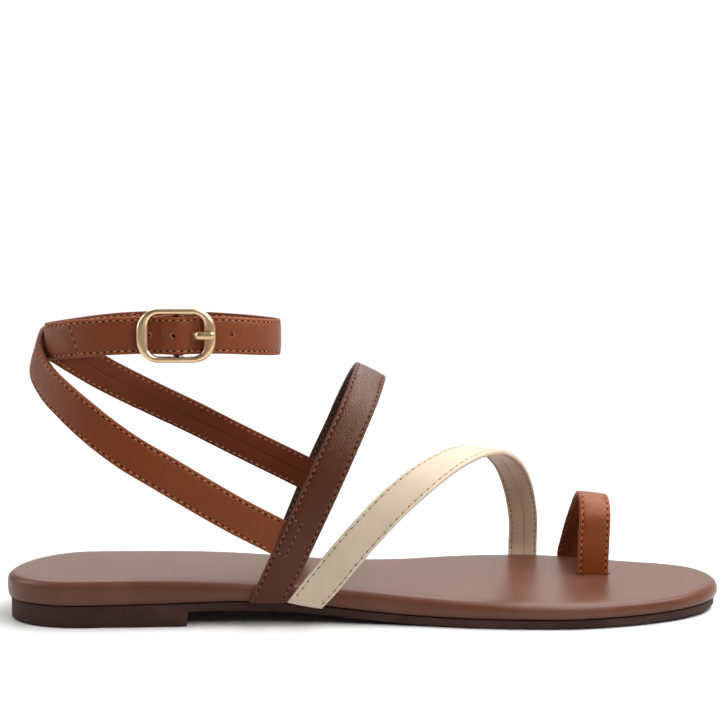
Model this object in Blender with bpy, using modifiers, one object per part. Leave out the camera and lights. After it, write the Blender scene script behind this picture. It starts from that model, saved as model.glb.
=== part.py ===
"""Ankle strap sandal for the right foot, built as separate solids.

Tables are in millimetres and MM turns them into metres.
Along runs from the back of the heel to the toe, across is negative on the outer side of the foot
and positive on the inner side, and height is measured up from the floor.
"""
import math

import bmesh
import bpy
import numpy as np
from mathutils import Matrix, Vector

MM = 0.001
GAP = 0.3

# Mesh
WELD = 0.000001
SHARP_ANGLE = math.radians(40.0)
ARC_POINTS = 9
ROD_SIDES = 20
SOLE_STATIONS = 24

# Sole
LENGTH = 249.0
HEEL_ROUND = 27.0
HEEL_SQUARENESS = 2.0
TOE_ROUND = 60.0
TOE_SQUARENESS = 2.3
OUTSOLE_THICKNESS = 3.2
OUTSOLE_INSET = 1.2
HEEL_BREAST = 62.5
BREAST_SLOPE = 0.8
EDGE_BEVEL = 0.4
SLIT_TOP = 20.0

# Straps
STRAP_STEP = 4.4
FINE_STEP = 3.0
INSTEP_THICKNESS = 2.2
SLING_THICKNESS = 1.8
FOREFOOT_THICKNESS = 2.0
TOE_LOOP_THICKNESS = 1.8
ANKLE_THICKNESS = 1.5
ANKLE_WIDTH = 12.4
ANKLE_HEIGHT = 97.6
HOLE_DIAMETER = 1.8
HOLES_ALONG = (50.5, 58.9, 77.7)

# Buckle
BUCKLE_ALONG = 59.6
BUCKLE_LENGTH = 26.0
BUCKLE_HEIGHT = 18.0
SIDE_BAR = 4.0
LONG_BAR = 2.1
BUCKLE_CORNER = 7.5
BUCKLE_THICKNESS = 2.2
BUCKLE_FACE = -30.2
CENTRE_BAR_ACROSS = -25.6
CENTRE_BAR_RADIUS = 0.75
LUG_LENGTH = 2.4
LUG_HEIGHT = 1.7
PRONG_RADIUS = 0.7
PRONG_CLEARANCE = 0.5
PRONG_SLOT = (61.8, 68.9)
FOLD_TURN = (-120.0, 90.0)
HOOK_TURN = (60.0, 270.0)


def table(columns, rows):
    """Rows of numbers as one array for each named column."""
    return {name: np.array(values, float) for name, values in zip(columns, zip(*rows))}


# The last's bottom: middle line and outer and inner edges of the footbed, underside of the thin sole
# and top of the footbed.
SOLE = table(
    ("along", "middle", "lateral", "medial", "under", "top"),
    (
        (0.0, -6.0, -28.0, 28.0, 4.2, 16.0),
        (30.0, -3.0, -28.2, 27.6, 4.3, 16.0),
        (60.0, 0.0, -28.2, 27.6, 4.7, 15.7),
        (75.0, 0.0, -28.0, 27.6, 5.0, 15.1),
        (90.0, 0.0, -27.8, 27.2, 4.6, 14.1),
        (105.0, 0.0, -28.0, 27.0, 3.4, 12.9),
        (122.0, 0.0, -29.4, 29.0, 1.5, 11.6),
        (140.0, 0.0, -32.6, 35.8, 0.3, 10.2),
        (158.0, 0.0, -36.8, 44.0, 0.0, 9.3),
        (175.0, 0.0, -39.4, 48.0, 0.0, 8.8),
        (190.0, 0.0, -40.3, 48.2, 0.0, 8.6),
        (205.0, 0.0, -39.2, 45.0, 0.1, 8.5),
        (225.0, 0.0, -37.6, 38.8, 0.4, 8.7),
        (249.0, 0.0, -37.0, 36.8, 1.3, 10.0),
    ),
)

# The footbed's edge from its seam up to its flat top: how far in it lies, its share of the way up, and
# an offset in height.
FOOTBED_EDGE = table(
    ("inset", "share", "offset"),
    (
        (2.2, 0.0, GAP / 2.0),
        (0.8, 0.0, 0.8),
        (0.0, 0.4, 0.0),
        (0.3, 1.0, -2.2),
        (1.1, 1.0, -1.1),
        (2.6, 1.0, -0.35),
        (5.0, 1.0, 0.0),
    ),
)

# Each strap's middle line, the way its face looks, its width, and how far its end is cut on the slant.
STRAP_COLUMNS = (
    "along", "across", "height", "out_along", "out_across", "out_up", "width", "slant",
)

INSTEP = table(
    STRAP_COLUMNS,
    (
        (89.0, -29.4, 8.5, 0.0, -1.0, 0.0, 10.6, -0.47),
        (93.4, -30.2, 17.5, 0.0, -1.0, 0.0, 11.6, 0.0),
        (100.5, -32.2, 32.5, 0.0, -1.0, 0.1, 11.6, 0.0),
        (108.0, -32.2, 48.6, 0.0, -1.0, 0.2, 11.6, 0.0),
        (114.3, -29.2, 62.0, 0.1, -1.0, 0.5, 11.6, 0.0),
        (119.6, -23.4, 72.8, 0.25, -0.8, 0.8, 11.6, 0.0),
        (123.4, -13.6, 80.4, 0.4, -0.4, 0.9, 11.6, 0.0),
        (125.4, 0.0, 83.3, 0.45, 0.0, 0.9, 11.6, 0.0),
        (123.9, 13.8, 79.6, 0.4, 0.4, 0.9, 11.6, 0.0),
        (120.6, 23.6, 71.4, 0.25, 0.8, 0.8, 11.6, 0.0),
        (116.2, 29.2, 60.6, 0.1, 1.0, 0.5, 11.6, 0.0),
        (110.6, 31.8, 48.0, 0.0, 1.0, 0.2, 11.6, 0.0),
        (104.4, 31.4, 33.0, 0.0, 1.0, 0.0, 11.6, 0.0),
        (98.0, 29.4, 17.5, 0.0, 1.0, 0.0, 11.6, 0.0),
        (94.4, 28.8, 9.0, 0.0, 1.0, 0.0, 10.6, 0.4),
    ),
)

SLING = table(
    STRAP_COLUMNS,
    (
        (95.8, -31.8, 29.2, 0.0, -1.0, 0.05, 12.2, 0.0),
        (78.2, -33.0, 38.9, 0.0, -1.0, 0.05, 12.2, 0.0),
        (54.8, -32.4, 52.9, 0.0, -1.0, 0.1, 12.2, 0.0),
        (43.1, -30.6, 59.8, -0.1, -1.0, 0.1, 12.2, 0.0),
        (31.5, -26.8, 68.0, -0.35, -1.0, 0.1, 12.2, 0.0),
        (22.8, -21.6, 74.8, -0.7, -0.8, 0.15, 12.2, 0.0),
        (15.8, -15.0, 80.8, -0.9, -0.5, 0.2, 12.2, 0.0),
        (11.2, -7.5, 86.6, -1.0, -0.25, 0.3, 12.2, 0.0),
        (9.8, 0.5, 91.2, -1.0, 0.0, 0.35, 12.2, 0.0),
        (10.6, 8.5, 93.4, -1.0, 0.3, 0.3, 12.2, 0.0),
        (14.0, 16.0, 92.0, -0.85, 0.6, 0.2, 12.2, 0.0),
        (20.2, 22.4, 87.4, -0.6, 0.85, 0.15, 12.2, 0.0),
        (28.2, 27.4, 81.8, -0.35, 1.0, 0.1, 12.2, 0.0),
        (45.2, 31.4, 72.4, -0.1, 1.0, 0.1, 12.2, 0.0),
        (62.7, 32.6, 63.7, 0.0, 1.0, 0.1, 12.2, 0.0),
        (80.4, 32.4, 54.6, 0.0, 1.0, 0.1, 12.2, 0.0),
        (107.0, 31.4, 41.4, 0.0, 1.0, 0.05, 12.2, 0.0),
    ),
)

FOREFOOT = table(
    STRAP_COLUMNS,
    (
        (101.6, -30.2, 7.6, 0.0, -1.0, 0.0, 10.4, -0.55),
        (108.6, -31.4, 16.2, 0.0, -1.0, 0.1, 11.2, 0.0),
        (115.3, -33.2, 24.8, 0.0, -1.0, 0.2, 11.2, 0.0),
        (122.5, -34.2, 33.2, 0.0, -1.0, 0.3, 11.2, 0.0),
        (130.5, -33.6, 41.4, -0.1, -1.0, 0.45, 11.2, 0.0),
        (139.6, -30.2, 48.6, -0.1, -0.9, 0.7, 11.2, 0.0),
        (149.4, -22.8, 53.8, -0.1, -0.6, 0.9, 11.2, 0.0),
        (159.6, -11.5, 56.2, 0.0, -0.3, 1.0, 11.2, 0.0),
        (168.6, 2.5, 54.6, 0.05, 0.0, 1.0, 11.2, 0.0),
        (176.4, 17.0, 49.0, 0.15, 0.4, 1.0, 11.2, 0.0),
        (181.6, 29.0, 41.6, 0.2, 0.8, 0.7, 11.2, 0.0),
        (185.4, 38.6, 32.4, 0.1, 1.0, 0.3, 11.2, 0.0),
        (187.8, 45.4, 22.0, 0.0, 1.0, 0.05, 11.2, 0.0),
        (188.4, 49.7, 11.0, 0.0, 1.0, 0.0, 11.2, 0.0),
        (188.4, 49.7, 4.2, 0.0, 1.0, 0.0, 11.2, 0.0),
    ),
)

TOE_LOOP = table(
    STRAP_COLUMNS,
    (
        (207.1, 8.4, 4.4, 0.0, -1.0, 0.0, 11.4, 0.0),
        (207.1, 8.4, 10.5, 0.0, -1.0, 0.0, 11.4, 0.0),
        (207.5, 8.4, 22.0, 0.0, -1.0, 0.0, 11.4, 0.0),
        (207.9, 9.2, 30.5, 0.0, -1.0, 0.3, 11.4, 0.0),
        (208.2, 12.2, 34.6, 0.1, -0.7, 0.7, 11.4, 0.0),
        (208.5, 17.2, 36.1, 0.13, 0.1, 1.0, 11.4, 0.0),
        (208.5, 24.4, 33.8, 0.13, 0.5, 0.9, 11.4, 0.0),
        (208.1, 31.8, 28.6, 0.15, 0.75, 0.75, 11.4, 0.0),
        (207.5, 38.6, 21.4, 0.25, 0.9, 0.5, 11.4, 0.0),
        (206.9, 43.4, 13.0, 0.38, 1.0, 0.2, 11.4, 0.0),
        (206.8, 44.9, 8.6, 0.42, 1.0, 0.0, 11.4, 0.0),
        (206.8, 44.9, 4.6, 0.42, 1.0, 0.0, 11.4, 0.0),
    ),
)

# The ankle strap's turn, from the buckle's bar round the back and the inner side to the front.
ANKLE_COLUMNS = ("along", "across", "height", "slant")
ANKLE_TURN = table(
    ANKLE_COLUMNS,
    (
        (51.0, -23.8, 97.6, 0.0),
        (43.0, -23.6, 97.4, 0.0),
        (35.0, -22.2, 96.9, 0.0),
        (27.0, -19.2, 96.1, 0.0),
        (20.2, -14.2, 95.3, 0.0),
        (15.2, -7.5, 94.8, 0.0),
        (13.5, 0.5, 94.6, 0.0),
        (15.2, 8.5, 94.8, 0.0),
        (20.2, 15.8, 95.4, 0.0),
        (28.2, 21.0, 96.4, 0.0),
        (39.0, 24.4, 97.3, 0.0),
        (53.0, 25.6, 97.6, 0.0),
        (67.0, 24.4, 97.3, 0.0),
        (79.0, 20.4, 96.7, 0.0),
        (88.0, 13.4, 96.1, 0.0),
        (93.0, 4.0, 95.8, 0.0),
        (93.0, -5.0, 95.8, 0.0),
        (89.0, -14.0, 96.3, 0.0),
    ),
)

# The ankle strap's free end, over the buckle's bar and back to a tip that is cut on the slant.
ANKLE_END = table(
    ANKLE_COLUMNS,
    (
        (82.0, -21.0, 97.0, 0.0),
        (75.5, -24.8, 97.5, 0.0),
        (71.0, -26.1, 97.6, 0.0),
        (66.6, -27.0, 97.6, 0.0),
        (63.0, -29.0, 97.6, 0.0),
        (59.6, -29.6, 97.6, 0.0),
        (56.2, -28.8, 97.6, 0.0),
        (52.6, -26.8, 97.6, 0.0),
        (47.5, -26.0, 97.6, 0.0),
        (41.0, -25.7, 97.4, 0.0),
        (33.5, -24.0, 96.9, 0.0),
        (24.4, -19.9, 96.2, -0.35),
    ),
)

# The prong's run from its hook to its tip, with its share of the way out to the front of the frame.
PRONG_RUN = table(
    ("along", "share"),
    (
        (62.8, 0.0),
        (64.4, 0.1),
        (66.2, 0.42),
        (68.2, 1.0),
        (72.4, 1.0),
    ),
)


def smooth(keys, values, at):
    """Value at a place on a cubic curve through the keyed values."""
    slopes = np.gradient(values, keys)
    first = np.clip(np.searchsorted(keys, at) - 1, 0, len(keys) - 2)
    span = keys[first + 1] - keys[first]
    t = (at - keys[first]) / span
    rise = (values[first + 1] - values[first]) * (3.0 - 2.0 * t) * t * t
    ease_out = slopes[first] * t * (1.0 - t) ** 2
    ease_in = slopes[first + 1] * t * t * (1.0 - t)
    return values[first] + rise + span * (ease_out - ease_in)


def sole_value(column, along):
    return float(smooth(SOLE["along"], SOLE[column], along))


def rounded_end(past, squareness):
    """Share of the full width left at a place in a rounded end, from 0 where it starts to 1 at its tip."""
    return max(0.0, 1.0 - past**squareness) ** (1.0 / squareness)


def outline_across(along, part, inset):
    """Place across the sole, from -1 at its outer edge to 1 at its inner edge, rounded at heel and toe."""
    middle = sole_value("middle", along)
    edge = sole_value("medial", along) - inset if part > 0.0 else sole_value("lateral", along) + inset
    from_heel = max(0.0, HEEL_ROUND - along) / (HEEL_ROUND - inset)
    from_toe = max(0.0, along - LENGTH + TOE_ROUND) / (TOE_ROUND - inset)
    share = min(rounded_end(from_heel, HEEL_SQUARENESS), rounded_end(from_toe, TOE_SQUARENESS))
    return middle + abs(part) * (edge - middle) * share


def drawn_in(along, inset):
    """Place along the sole after its rounded heel and toe are drawn in by an inset."""
    past_heel = max(0.0, HEEL_ROUND - along) / HEEL_ROUND
    past_toe = max(0.0, along - LENGTH + TOE_ROUND) / TOE_ROUND
    return along + inset * (past_heel - past_toe)


def underside(along):
    return max(0.0, sole_value("under", along))


def seam(along):
    """Height of the joint between outsole and footbed."""
    return underside(along) + OUTSOLE_THICKNESS


def tread(along):
    """Height of the outsole's lowest face: the heel block stands on the floor."""
    return 0.0 if along < HEEL_BREAST else underside(along)


def footbed_level(inset, share, offset):
    """One line round the footbed's edge: its inset, and its height at each place along."""

    def height(along):
        low = seam(along)
        return low + share * (sole_value("top", along) - low) + offset

    return inset, height


def stations(extra=()):
    """Places along the sole, closer together where heel and toe round off."""
    turn = np.linspace(0.0, math.pi / 2.0, ARC_POINTS)
    heel = HEEL_ROUND * (1.0 - np.cos(turn))
    toe = LENGTH - TOE_ROUND + TOE_ROUND * np.sin(turn)
    middle = np.linspace(HEEL_ROUND, LENGTH - TOE_ROUND, SOLE_STATIONS)[1:-1]
    return sorted([*heel, *middle, *toe, *extra])


def new_object(name, mesh, finish, collection):
    item = bpy.data.objects.new(name, mesh)
    if finish:
        mesh.materials.append(finish)
    mesh.shade_smooth()
    mesh.set_sharp_from_angle(angle=SHARP_ANGLE)
    collection.objects.link(item)
    item.parent = sandal
    return item


def mapped_grid(name, columns, rows, place):
    """Grid of quads whose points are set by a function of their column and row."""
    sheet = bmesh.new()
    bmesh.ops.create_grid(sheet, x_segments=columns, y_segments=rows, size=1.0)
    for point in sheet.verts:
        column = round((point.co.x + 1.0) / 2.0 * columns)
        row = round((point.co.y + 1.0) / 2.0 * rows)
        point.co = Vector(place(column, row)) * MM
    bmesh.ops.remove_doubles(sheet, verts=sheet.verts, dist=WELD)
    bmesh.ops.dissolve_degenerate(sheet, edges=sheet.edges, dist=WELD)
    bmesh.ops.recalc_face_normals(sheet, faces=sheet.faces)
    mesh = bpy.data.meshes.new(name)
    sheet.to_mesh(mesh)
    sheet.free()
    return mesh


def sole_solid(name, along_list, levels, finish):
    """Solid lofted heel to toe: across the bottom, up one side, over the top and down the other side."""
    across = (-1.0, -0.5, 0.0, 0.5, 1.0)
    last = len(levels) - 1
    ring = [(0, part) for part in across]
    ring += [(level, 1.0) for level in range(1, last)]
    ring += [(last, -part) for part in across]
    ring += [(level, -1.0) for level in range(last - 1, 0, -1)]
    ring.append(ring[0])

    def place(column, row):
        level, part = ring[column]
        inset, height = levels[level]
        along = drawn_in(along_list[row], inset)
        return along, outline_across(along, part, inset), height(along)

    mesh = mapped_grid(name, len(ring) - 1, len(along_list) - 1, place)
    return new_object(name, mesh, finish, parts)


def strip(name, line, facing, width, slant, thickness, finish, collection, across=2):
    """Flat strap of one thickness that follows a line, with its face looking the way it is told."""
    run = np.gradient(line, axis=0)
    run /= np.linalg.norm(run, axis=1, keepdims=True)
    face = facing - run * np.sum(facing * run, axis=1, keepdims=True)
    face /= np.linalg.norm(face, axis=1, keepdims=True)
    edge = np.cross(face, run) + slant[:, None] * run

    def place(column, row):
        return line[column] + edge[column] * width[column] * (row / across - 0.5)

    mesh = mapped_grid(name, len(line) - 1, across, place)
    item = new_object(name, mesh, finish, collection)
    wall = item.modifiers.new("wall", "SOLIDIFY")
    wall.thickness = thickness * MM
    wall.offset = 0.0
    wall.use_even_offset = True
    return item


def even_steps(points, step):
    """Distance along a line to each of its points, and to even steps of about one length."""
    reach = np.concatenate(([0.0], np.cumsum(np.linalg.norm(np.diff(points, axis=0), axis=1))))
    return reach, np.linspace(0.0, reach[-1], round(reach[-1] / step) + 1)


def strap(name, rows, step, thickness, finish, collection):
    """Strap through the rows of its table, at even steps."""
    reach, at = even_steps(np.stack([rows[key] for key in STRAP_COLUMNS[:3]], axis=1), step)
    values = {key: smooth(reach, rows[key], at) for key in STRAP_COLUMNS[:-1]}
    line = np.stack([values[key] for key in STRAP_COLUMNS[:3]], axis=1)
    facing = np.stack([values[key] for key in STRAP_COLUMNS[3:6]], axis=1)
    slant = np.interp(at, reach, rows["slant"])
    return strip(name, line, facing, values["width"], slant, thickness, finish, collection)


def combine(item, tool, operation):
    """Live Boolean of an item with a hidden tool."""
    tool.hide_render = True
    tool.display_type = "WIRE"
    change = item.modifiers.new(tool.name, "BOOLEAN")
    change.operation = operation
    change.object = tool


def block(name, low, high):
    """Box between two corners, in millimetres."""
    box = bmesh.new()
    bmesh.ops.create_cube(box, size=1.0)
    size = Vector(high) - Vector(low)
    middle = (Vector(high) + Vector(low)) / 2.0
    bmesh.ops.transform(
        box, matrix=Matrix.Translation(middle * MM) @ Matrix.Diagonal((*size * MM, 1.0)), verts=box.verts
    )
    mesh = bpy.data.meshes.new(name)
    box.to_mesh(mesh)
    box.free()
    return new_object(name, mesh, None, cutters)


def rod(name, middle, radius, length, axis):
    """Round rod about a middle point, in millimetres, along Y or Z."""
    bar = bmesh.new()
    bmesh.ops.create_cone(
        bar, cap_ends=True, segments=ROD_SIDES, radius1=radius * MM, radius2=radius * MM, depth=length * MM
    )
    turn = Matrix.Rotation(math.pi / 2.0, 4, "X") if axis == "Y" else Matrix.Identity(4)
    bmesh.ops.transform(bar, matrix=Matrix.Translation(Vector(middle) * MM) @ turn, verts=bar.verts)
    mesh = bpy.data.meshes.new(name)
    bar.to_mesh(mesh)
    bar.free()
    return new_object(name, mesh, None, cutters)


def rounded_rectangle(length, height, radius):
    """Corner points of a rounded rectangle about the origin, counter-clockwise."""
    corners = ((1, 1, 0.0), (-1, 1, 0.5), (-1, -1, 1.0), (1, -1, 1.5))
    outline = []
    for along, up, start in corners:
        for turn in np.linspace(start * math.pi, (start + 0.5) * math.pi, ARC_POINTS):
            x = along * (length / 2.0 - radius) + radius * math.cos(turn)
            z = up * (height / 2.0 - radius) + radius * math.sin(turn)
            outline.append((x, z))
    return outline


def as_mesh(curve_item, name):
    """Welded mesh of a curve object, which is then removed."""
    depsgraph = bpy.context.evaluated_depsgraph_get()
    mesh = bpy.data.meshes.new_from_object(curve_item.evaluated_get(depsgraph))
    mesh.name = name
    mesh.transform(curve_item.matrix_world)
    bpy.data.objects.remove(curve_item)
    weld = bmesh.new()
    weld.from_mesh(mesh)
    bmesh.ops.remove_doubles(weld, verts=weld.verts, dist=WELD)
    weld.to_mesh(mesh)
    weld.free()
    return mesh


def leather(name, colour, roughness):
    return finish(name, colour, roughness, 0.0)


def finish(name, colour, roughness, metallic):
    material = bpy.data.materials.new(name)
    material.use_nodes = True
    shader = material.node_tree.nodes["Principled BSDF"]
    shader.inputs["Base Color"].default_value = (*colour, 1.0)
    shader.inputs["Roughness"].default_value = roughness
    shader.inputs["Metallic"].default_value = metallic
    return material


for old in list(bpy.data.objects):
    bpy.data.objects.remove(old)
parts = bpy.data.collections.new("ankle_strap_sandal")
cutters = bpy.data.collections.new("cutters")
for group in (parts, cutters):
    bpy.context.scene.collection.children.link(group)
sandal = bpy.data.objects.new("sandal", None)
parts.objects.link(sandal)

rubber_brown = finish("outsole_rubber", (0.045, 0.025, 0.020), 0.6, 0.0)
taupe = leather("footbed_leather", (0.150, 0.078, 0.055), 0.5)
dark_brown = leather("instep_leather", (0.075, 0.030, 0.021), 0.45)
cream = leather("cream_leather", (0.680, 0.570, 0.410), 0.5)
tan = leather("tan_leather", (0.210, 0.066, 0.026), 0.45)
gold = finish("buckle_gold", (0.750, 0.550, 0.280), 0.22, 1.0)

# Outsole: a thin moulded sole with a low heel block, an arch in the waist and a turned-up toe.
breast = (HEEL_BREAST - BREAST_SLOPE / 2.0, HEEL_BREAST + BREAST_SLOPE / 2.0)
outsole_levels = (
    (OUTSOLE_INSET + 2.0 * EDGE_BEVEL, tread),
    (OUTSOLE_INSET + EDGE_BEVEL, lambda along: tread(along) + EDGE_BEVEL),
    (OUTSOLE_INSET, lambda along: seam(along) - EDGE_BEVEL),
    (OUTSOLE_INSET, lambda along: seam(along) - GAP / 2.0),
)
sole_solid("outsole", stations(breast), outsole_levels, rubber_brown)

# Footbed: padded board wrapped in leather, undercut at the seam and soft at its top edge.
footbed_levels = [footbed_level(*row) for row in zip(*FOOTBED_EDGE.values())]
footbed = sole_solid("footbed", stations(), footbed_levels, taupe)
slit_along = TOE_LOOP["along"][0]
slit_across = TOE_LOOP["across"][0]
slit_half_length = TOE_LOOP["width"][0] / 2.0 + GAP
slit_half_width = TOE_LOOP_THICKNESS / 2.0 + GAP
slit = block(
    "toe_slit",
    (slit_along - slit_half_length, slit_across - slit_half_width, 0.0),
    (slit_along + slit_half_length, slit_across + slit_half_width, SLIT_TOP),
)
combine(footbed, slit, "DIFFERENCE")

# Upper: the instep strap with the heel sling's two ends sewn into its rear edge.
upper = strap("upper", INSTEP, STRAP_STEP, INSTEP_THICKNESS, dark_brown, parts)
sling = strap("heel_sling", SLING, STRAP_STEP, SLING_THICKNESS, tan, cutters)
combine(upper, sling, "UNION")

# Straps over the ball and the big toe.
strap("forefoot_strap", FOREFOOT, STRAP_STEP, FOREFOOT_THICKNESS, cream, parts)
strap("toe_loop", TOE_LOOP, FINE_STEP, TOE_LOOP_THICKNESS, tan, parts)

# Ankle strap: folded round the buckle's bar, then one turn round the ankle and through the buckle.
fold_radius = CENTRE_BAR_RADIUS + GAP + ANKLE_THICKNESS / 2.0
fold = [
    (BUCKLE_ALONG + fold_radius * math.cos(turn), CENTRE_BAR_ACROSS + fold_radius * math.sin(turn))
    for turn in np.radians(np.linspace(*FOLD_TURN, ARC_POINTS))
]
ankle_rows = {key: np.concatenate((ANKLE_TURN[key], ANKLE_END[key])) for key in ANKLE_COLUMNS}
ankle_reach, ankle_at = even_steps(np.stack([ankle_rows["along"], ankle_rows["across"]], axis=1), FINE_STEP)
ankle_turn = [smooth(ankle_reach, ankle_rows[key], ankle_at) for key in ("along", "across", "height")]
ankle_fold = np.column_stack((fold, np.full(len(fold), ANKLE_HEIGHT)))
ankle_line = np.concatenate((ankle_fold, np.stack(ankle_turn, axis=1)))
ankle_run = np.gradient(ankle_line, axis=0)
ankle_facing = np.column_stack((-ankle_run[:, 1], ankle_run[:, 0], np.zeros(len(ankle_line))))
ankle_slant = np.concatenate((np.zeros(len(fold)), np.interp(ankle_at, ankle_reach, ankle_rows["slant"])))
ankle_width = np.full(len(ankle_line), ANKLE_WIDTH)
ankle = strip(
    "ankle_strap", ankle_line, ankle_facing, ankle_width, ankle_slant, ANKLE_THICKNESS, tan, parts
)
slot_low = ANKLE_HEIGHT - PRONG_RADIUS - PRONG_CLEARANCE
slot_high = ANKLE_HEIGHT + PRONG_RADIUS + PRONG_CLEARANCE
fold_half = fold_radius + ANKLE_THICKNESS / 2.0 + GAP
fold_slot = block(
    "fold_slot",
    (BUCKLE_ALONG - fold_half, CENTRE_BAR_ACROSS - fold_half, slot_low),
    (BUCKLE_ALONG + fold_half, CENTRE_BAR_ACROSS + fold_half, slot_high),
)
prong_slot = block(
    "prong_slot",
    (PRONG_SLOT[0], BUCKLE_FACE - GAP, slot_low),
    (PRONG_SLOT[1], CENTRE_BAR_ACROSS, slot_high),
)
combine(ankle, fold_slot, "DIFFERENCE")
combine(ankle, prong_slot, "DIFFERENCE")
for number, along in enumerate(HOLES_ALONG, 1):
    across = np.interp(along, ANKLE_END["along"][::-1], ANKLE_END["across"][::-1])
    middle = (along, across, ANKLE_HEIGHT)
    hole = rod(f"hole_{number}", middle, HOLE_DIAMETER / 2.0, 2.0 * ANKLE_THICKNESS, "Y")
    combine(ankle, hole, "DIFFERENCE")

# Buckle frame: a rounded rectangle with its centre bar set back on two lugs.
outline = bpy.data.curves.new("buckle_outline", "CURVE")
outline.dimensions = "2D"
outline.fill_mode = "BOTH"
outline.extrude = BUCKLE_THICKNESS / 2.0 * MM
inner_corner = BUCKLE_CORNER - SIDE_BAR
for points in (
    rounded_rectangle(BUCKLE_LENGTH, BUCKLE_HEIGHT, BUCKLE_CORNER),
    rounded_rectangle(BUCKLE_LENGTH - 2.0 * SIDE_BAR, BUCKLE_HEIGHT - 2.0 * LONG_BAR, inner_corner),
):
    spline = outline.splines.new("POLY")
    spline.points.add(len(points) - 1)
    for point, (x, z) in zip(spline.points, points):
        point.co = (x * MM, z * MM, 0.0, 1.0)
    spline.use_cyclic_u = True
flat_frame = bpy.data.objects.new("buckle_outline", outline)
cutters.objects.link(flat_frame)
frame_middle = BUCKLE_FACE + BUCKLE_THICKNESS / 2.0
flat_frame.matrix_world = (
    Matrix.Translation(Vector((BUCKLE_ALONG, frame_middle, ANKLE_HEIGHT)) * MM)
    @ Matrix.Rotation(math.pi / 2.0, 4, "X")
)
bpy.context.view_layer.update()
buckle = new_object("buckle_frame", as_mesh(flat_frame, "buckle_frame"), gold, parts)
lug_middle = (BUCKLE_HEIGHT - LONG_BAR) / 2.0
lug_back = CENTRE_BAR_ACROSS + CENTRE_BAR_RADIUS + GAP
for name, side in (("lower_lug", -1.0), ("upper_lug", 1.0)):
    height = ANKLE_HEIGHT + side * lug_middle
    lug = block(
        name,
        (BUCKLE_ALONG - LUG_LENGTH / 2.0, frame_middle, height - LUG_HEIGHT / 2.0),
        (BUCKLE_ALONG + LUG_LENGTH / 2.0, lug_back, height + LUG_HEIGHT / 2.0),
    )
    combine(buckle, lug, "UNION")
bar_middle = (BUCKLE_ALONG, CENTRE_BAR_ACROSS, ANKLE_HEIGHT)
bar = rod("centre_bar", bar_middle, CENTRE_BAR_RADIUS, 2.0 * lug_middle, "Z")
combine(buckle, bar, "UNION")

# Buckle prong: a wire hooked round the centre bar, out through the strap and over the frame's front bar.
hook_radius = CENTRE_BAR_RADIUS + GAP + PRONG_RADIUS
hook = [
    (BUCKLE_ALONG + hook_radius * math.cos(turn), CENTRE_BAR_ACROSS + hook_radius * math.sin(turn))
    for turn in np.radians(np.linspace(*HOOK_TURN, ARC_POINTS))
]
hook_across = CENTRE_BAR_ACROSS - hook_radius
rest_across = BUCKLE_FACE - GAP - PRONG_RADIUS
reach_out = zip(PRONG_RUN["along"], hook_across + PRONG_RUN["share"] * (rest_across - hook_across))
wire = bpy.data.curves.new("buckle_prong", "CURVE")
wire.dimensions = "3D"
wire.bevel_depth = PRONG_RADIUS * MM
wire.bevel_resolution = 2
wire.use_fill_caps = True
wire.materials.append(gold)
prong_points = [*hook, *reach_out]
spline = wire.splines.new("POLY")
spline.points.add(len(prong_points) - 1)
for point, (x, y) in zip(spline.points, prong_points):
    point.co = (x * MM, y * MM, ANKLE_HEIGHT * MM, 1.0)
prong = bpy.data.objects.new("buckle_prong", wire)
parts.objects.link(prong)
prong.parent = sandal

# The sandal stands over the middle of its own box, on the floor.
bpy.context.view_layer.update()
depsgraph = bpy.context.evaluated_depsgraph_get()
corners = []
for item in parts.objects:
    if item.type != "EMPTY":
        whole = bpy.data.meshes.new_from_object(item.evaluated_get(depsgraph))
        corners += [item.matrix_world @ point.co for point in whole.vertices]
        bpy.data.meshes.remove(whole)
box = np.array(corners)
middle = (box.min(axis=0) + box.max(axis=0)) / 2.0
sandal.location = (-middle[0], -middle[1], 0.0)
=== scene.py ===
"""Looks of a right ankle strap sandal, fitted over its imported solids.

Tables are in millimetres: along from the back of the heel to the toe, across from the outer side of the
foot (negative) to the inner side, and up from the floor.
"""

import math

import bmesh
import bpy
import numpy as np
from mathutils import Matrix, Vector


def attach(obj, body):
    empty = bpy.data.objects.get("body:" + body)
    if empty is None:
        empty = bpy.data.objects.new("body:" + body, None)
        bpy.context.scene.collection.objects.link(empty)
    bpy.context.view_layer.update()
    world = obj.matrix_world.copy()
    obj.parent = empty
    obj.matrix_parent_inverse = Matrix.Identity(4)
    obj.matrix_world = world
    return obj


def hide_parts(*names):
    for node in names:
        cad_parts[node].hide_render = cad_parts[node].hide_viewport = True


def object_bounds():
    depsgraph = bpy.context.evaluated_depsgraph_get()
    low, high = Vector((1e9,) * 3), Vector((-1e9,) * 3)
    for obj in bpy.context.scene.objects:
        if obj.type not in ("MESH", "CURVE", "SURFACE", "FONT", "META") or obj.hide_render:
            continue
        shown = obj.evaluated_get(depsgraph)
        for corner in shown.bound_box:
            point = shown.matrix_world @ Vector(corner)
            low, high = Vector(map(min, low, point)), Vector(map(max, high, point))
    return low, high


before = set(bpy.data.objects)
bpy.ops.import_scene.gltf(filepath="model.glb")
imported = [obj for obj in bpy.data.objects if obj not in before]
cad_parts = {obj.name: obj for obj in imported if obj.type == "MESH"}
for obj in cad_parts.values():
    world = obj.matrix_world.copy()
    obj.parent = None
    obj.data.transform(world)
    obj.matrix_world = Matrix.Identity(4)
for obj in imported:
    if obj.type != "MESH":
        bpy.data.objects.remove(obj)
cad_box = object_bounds()

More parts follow.
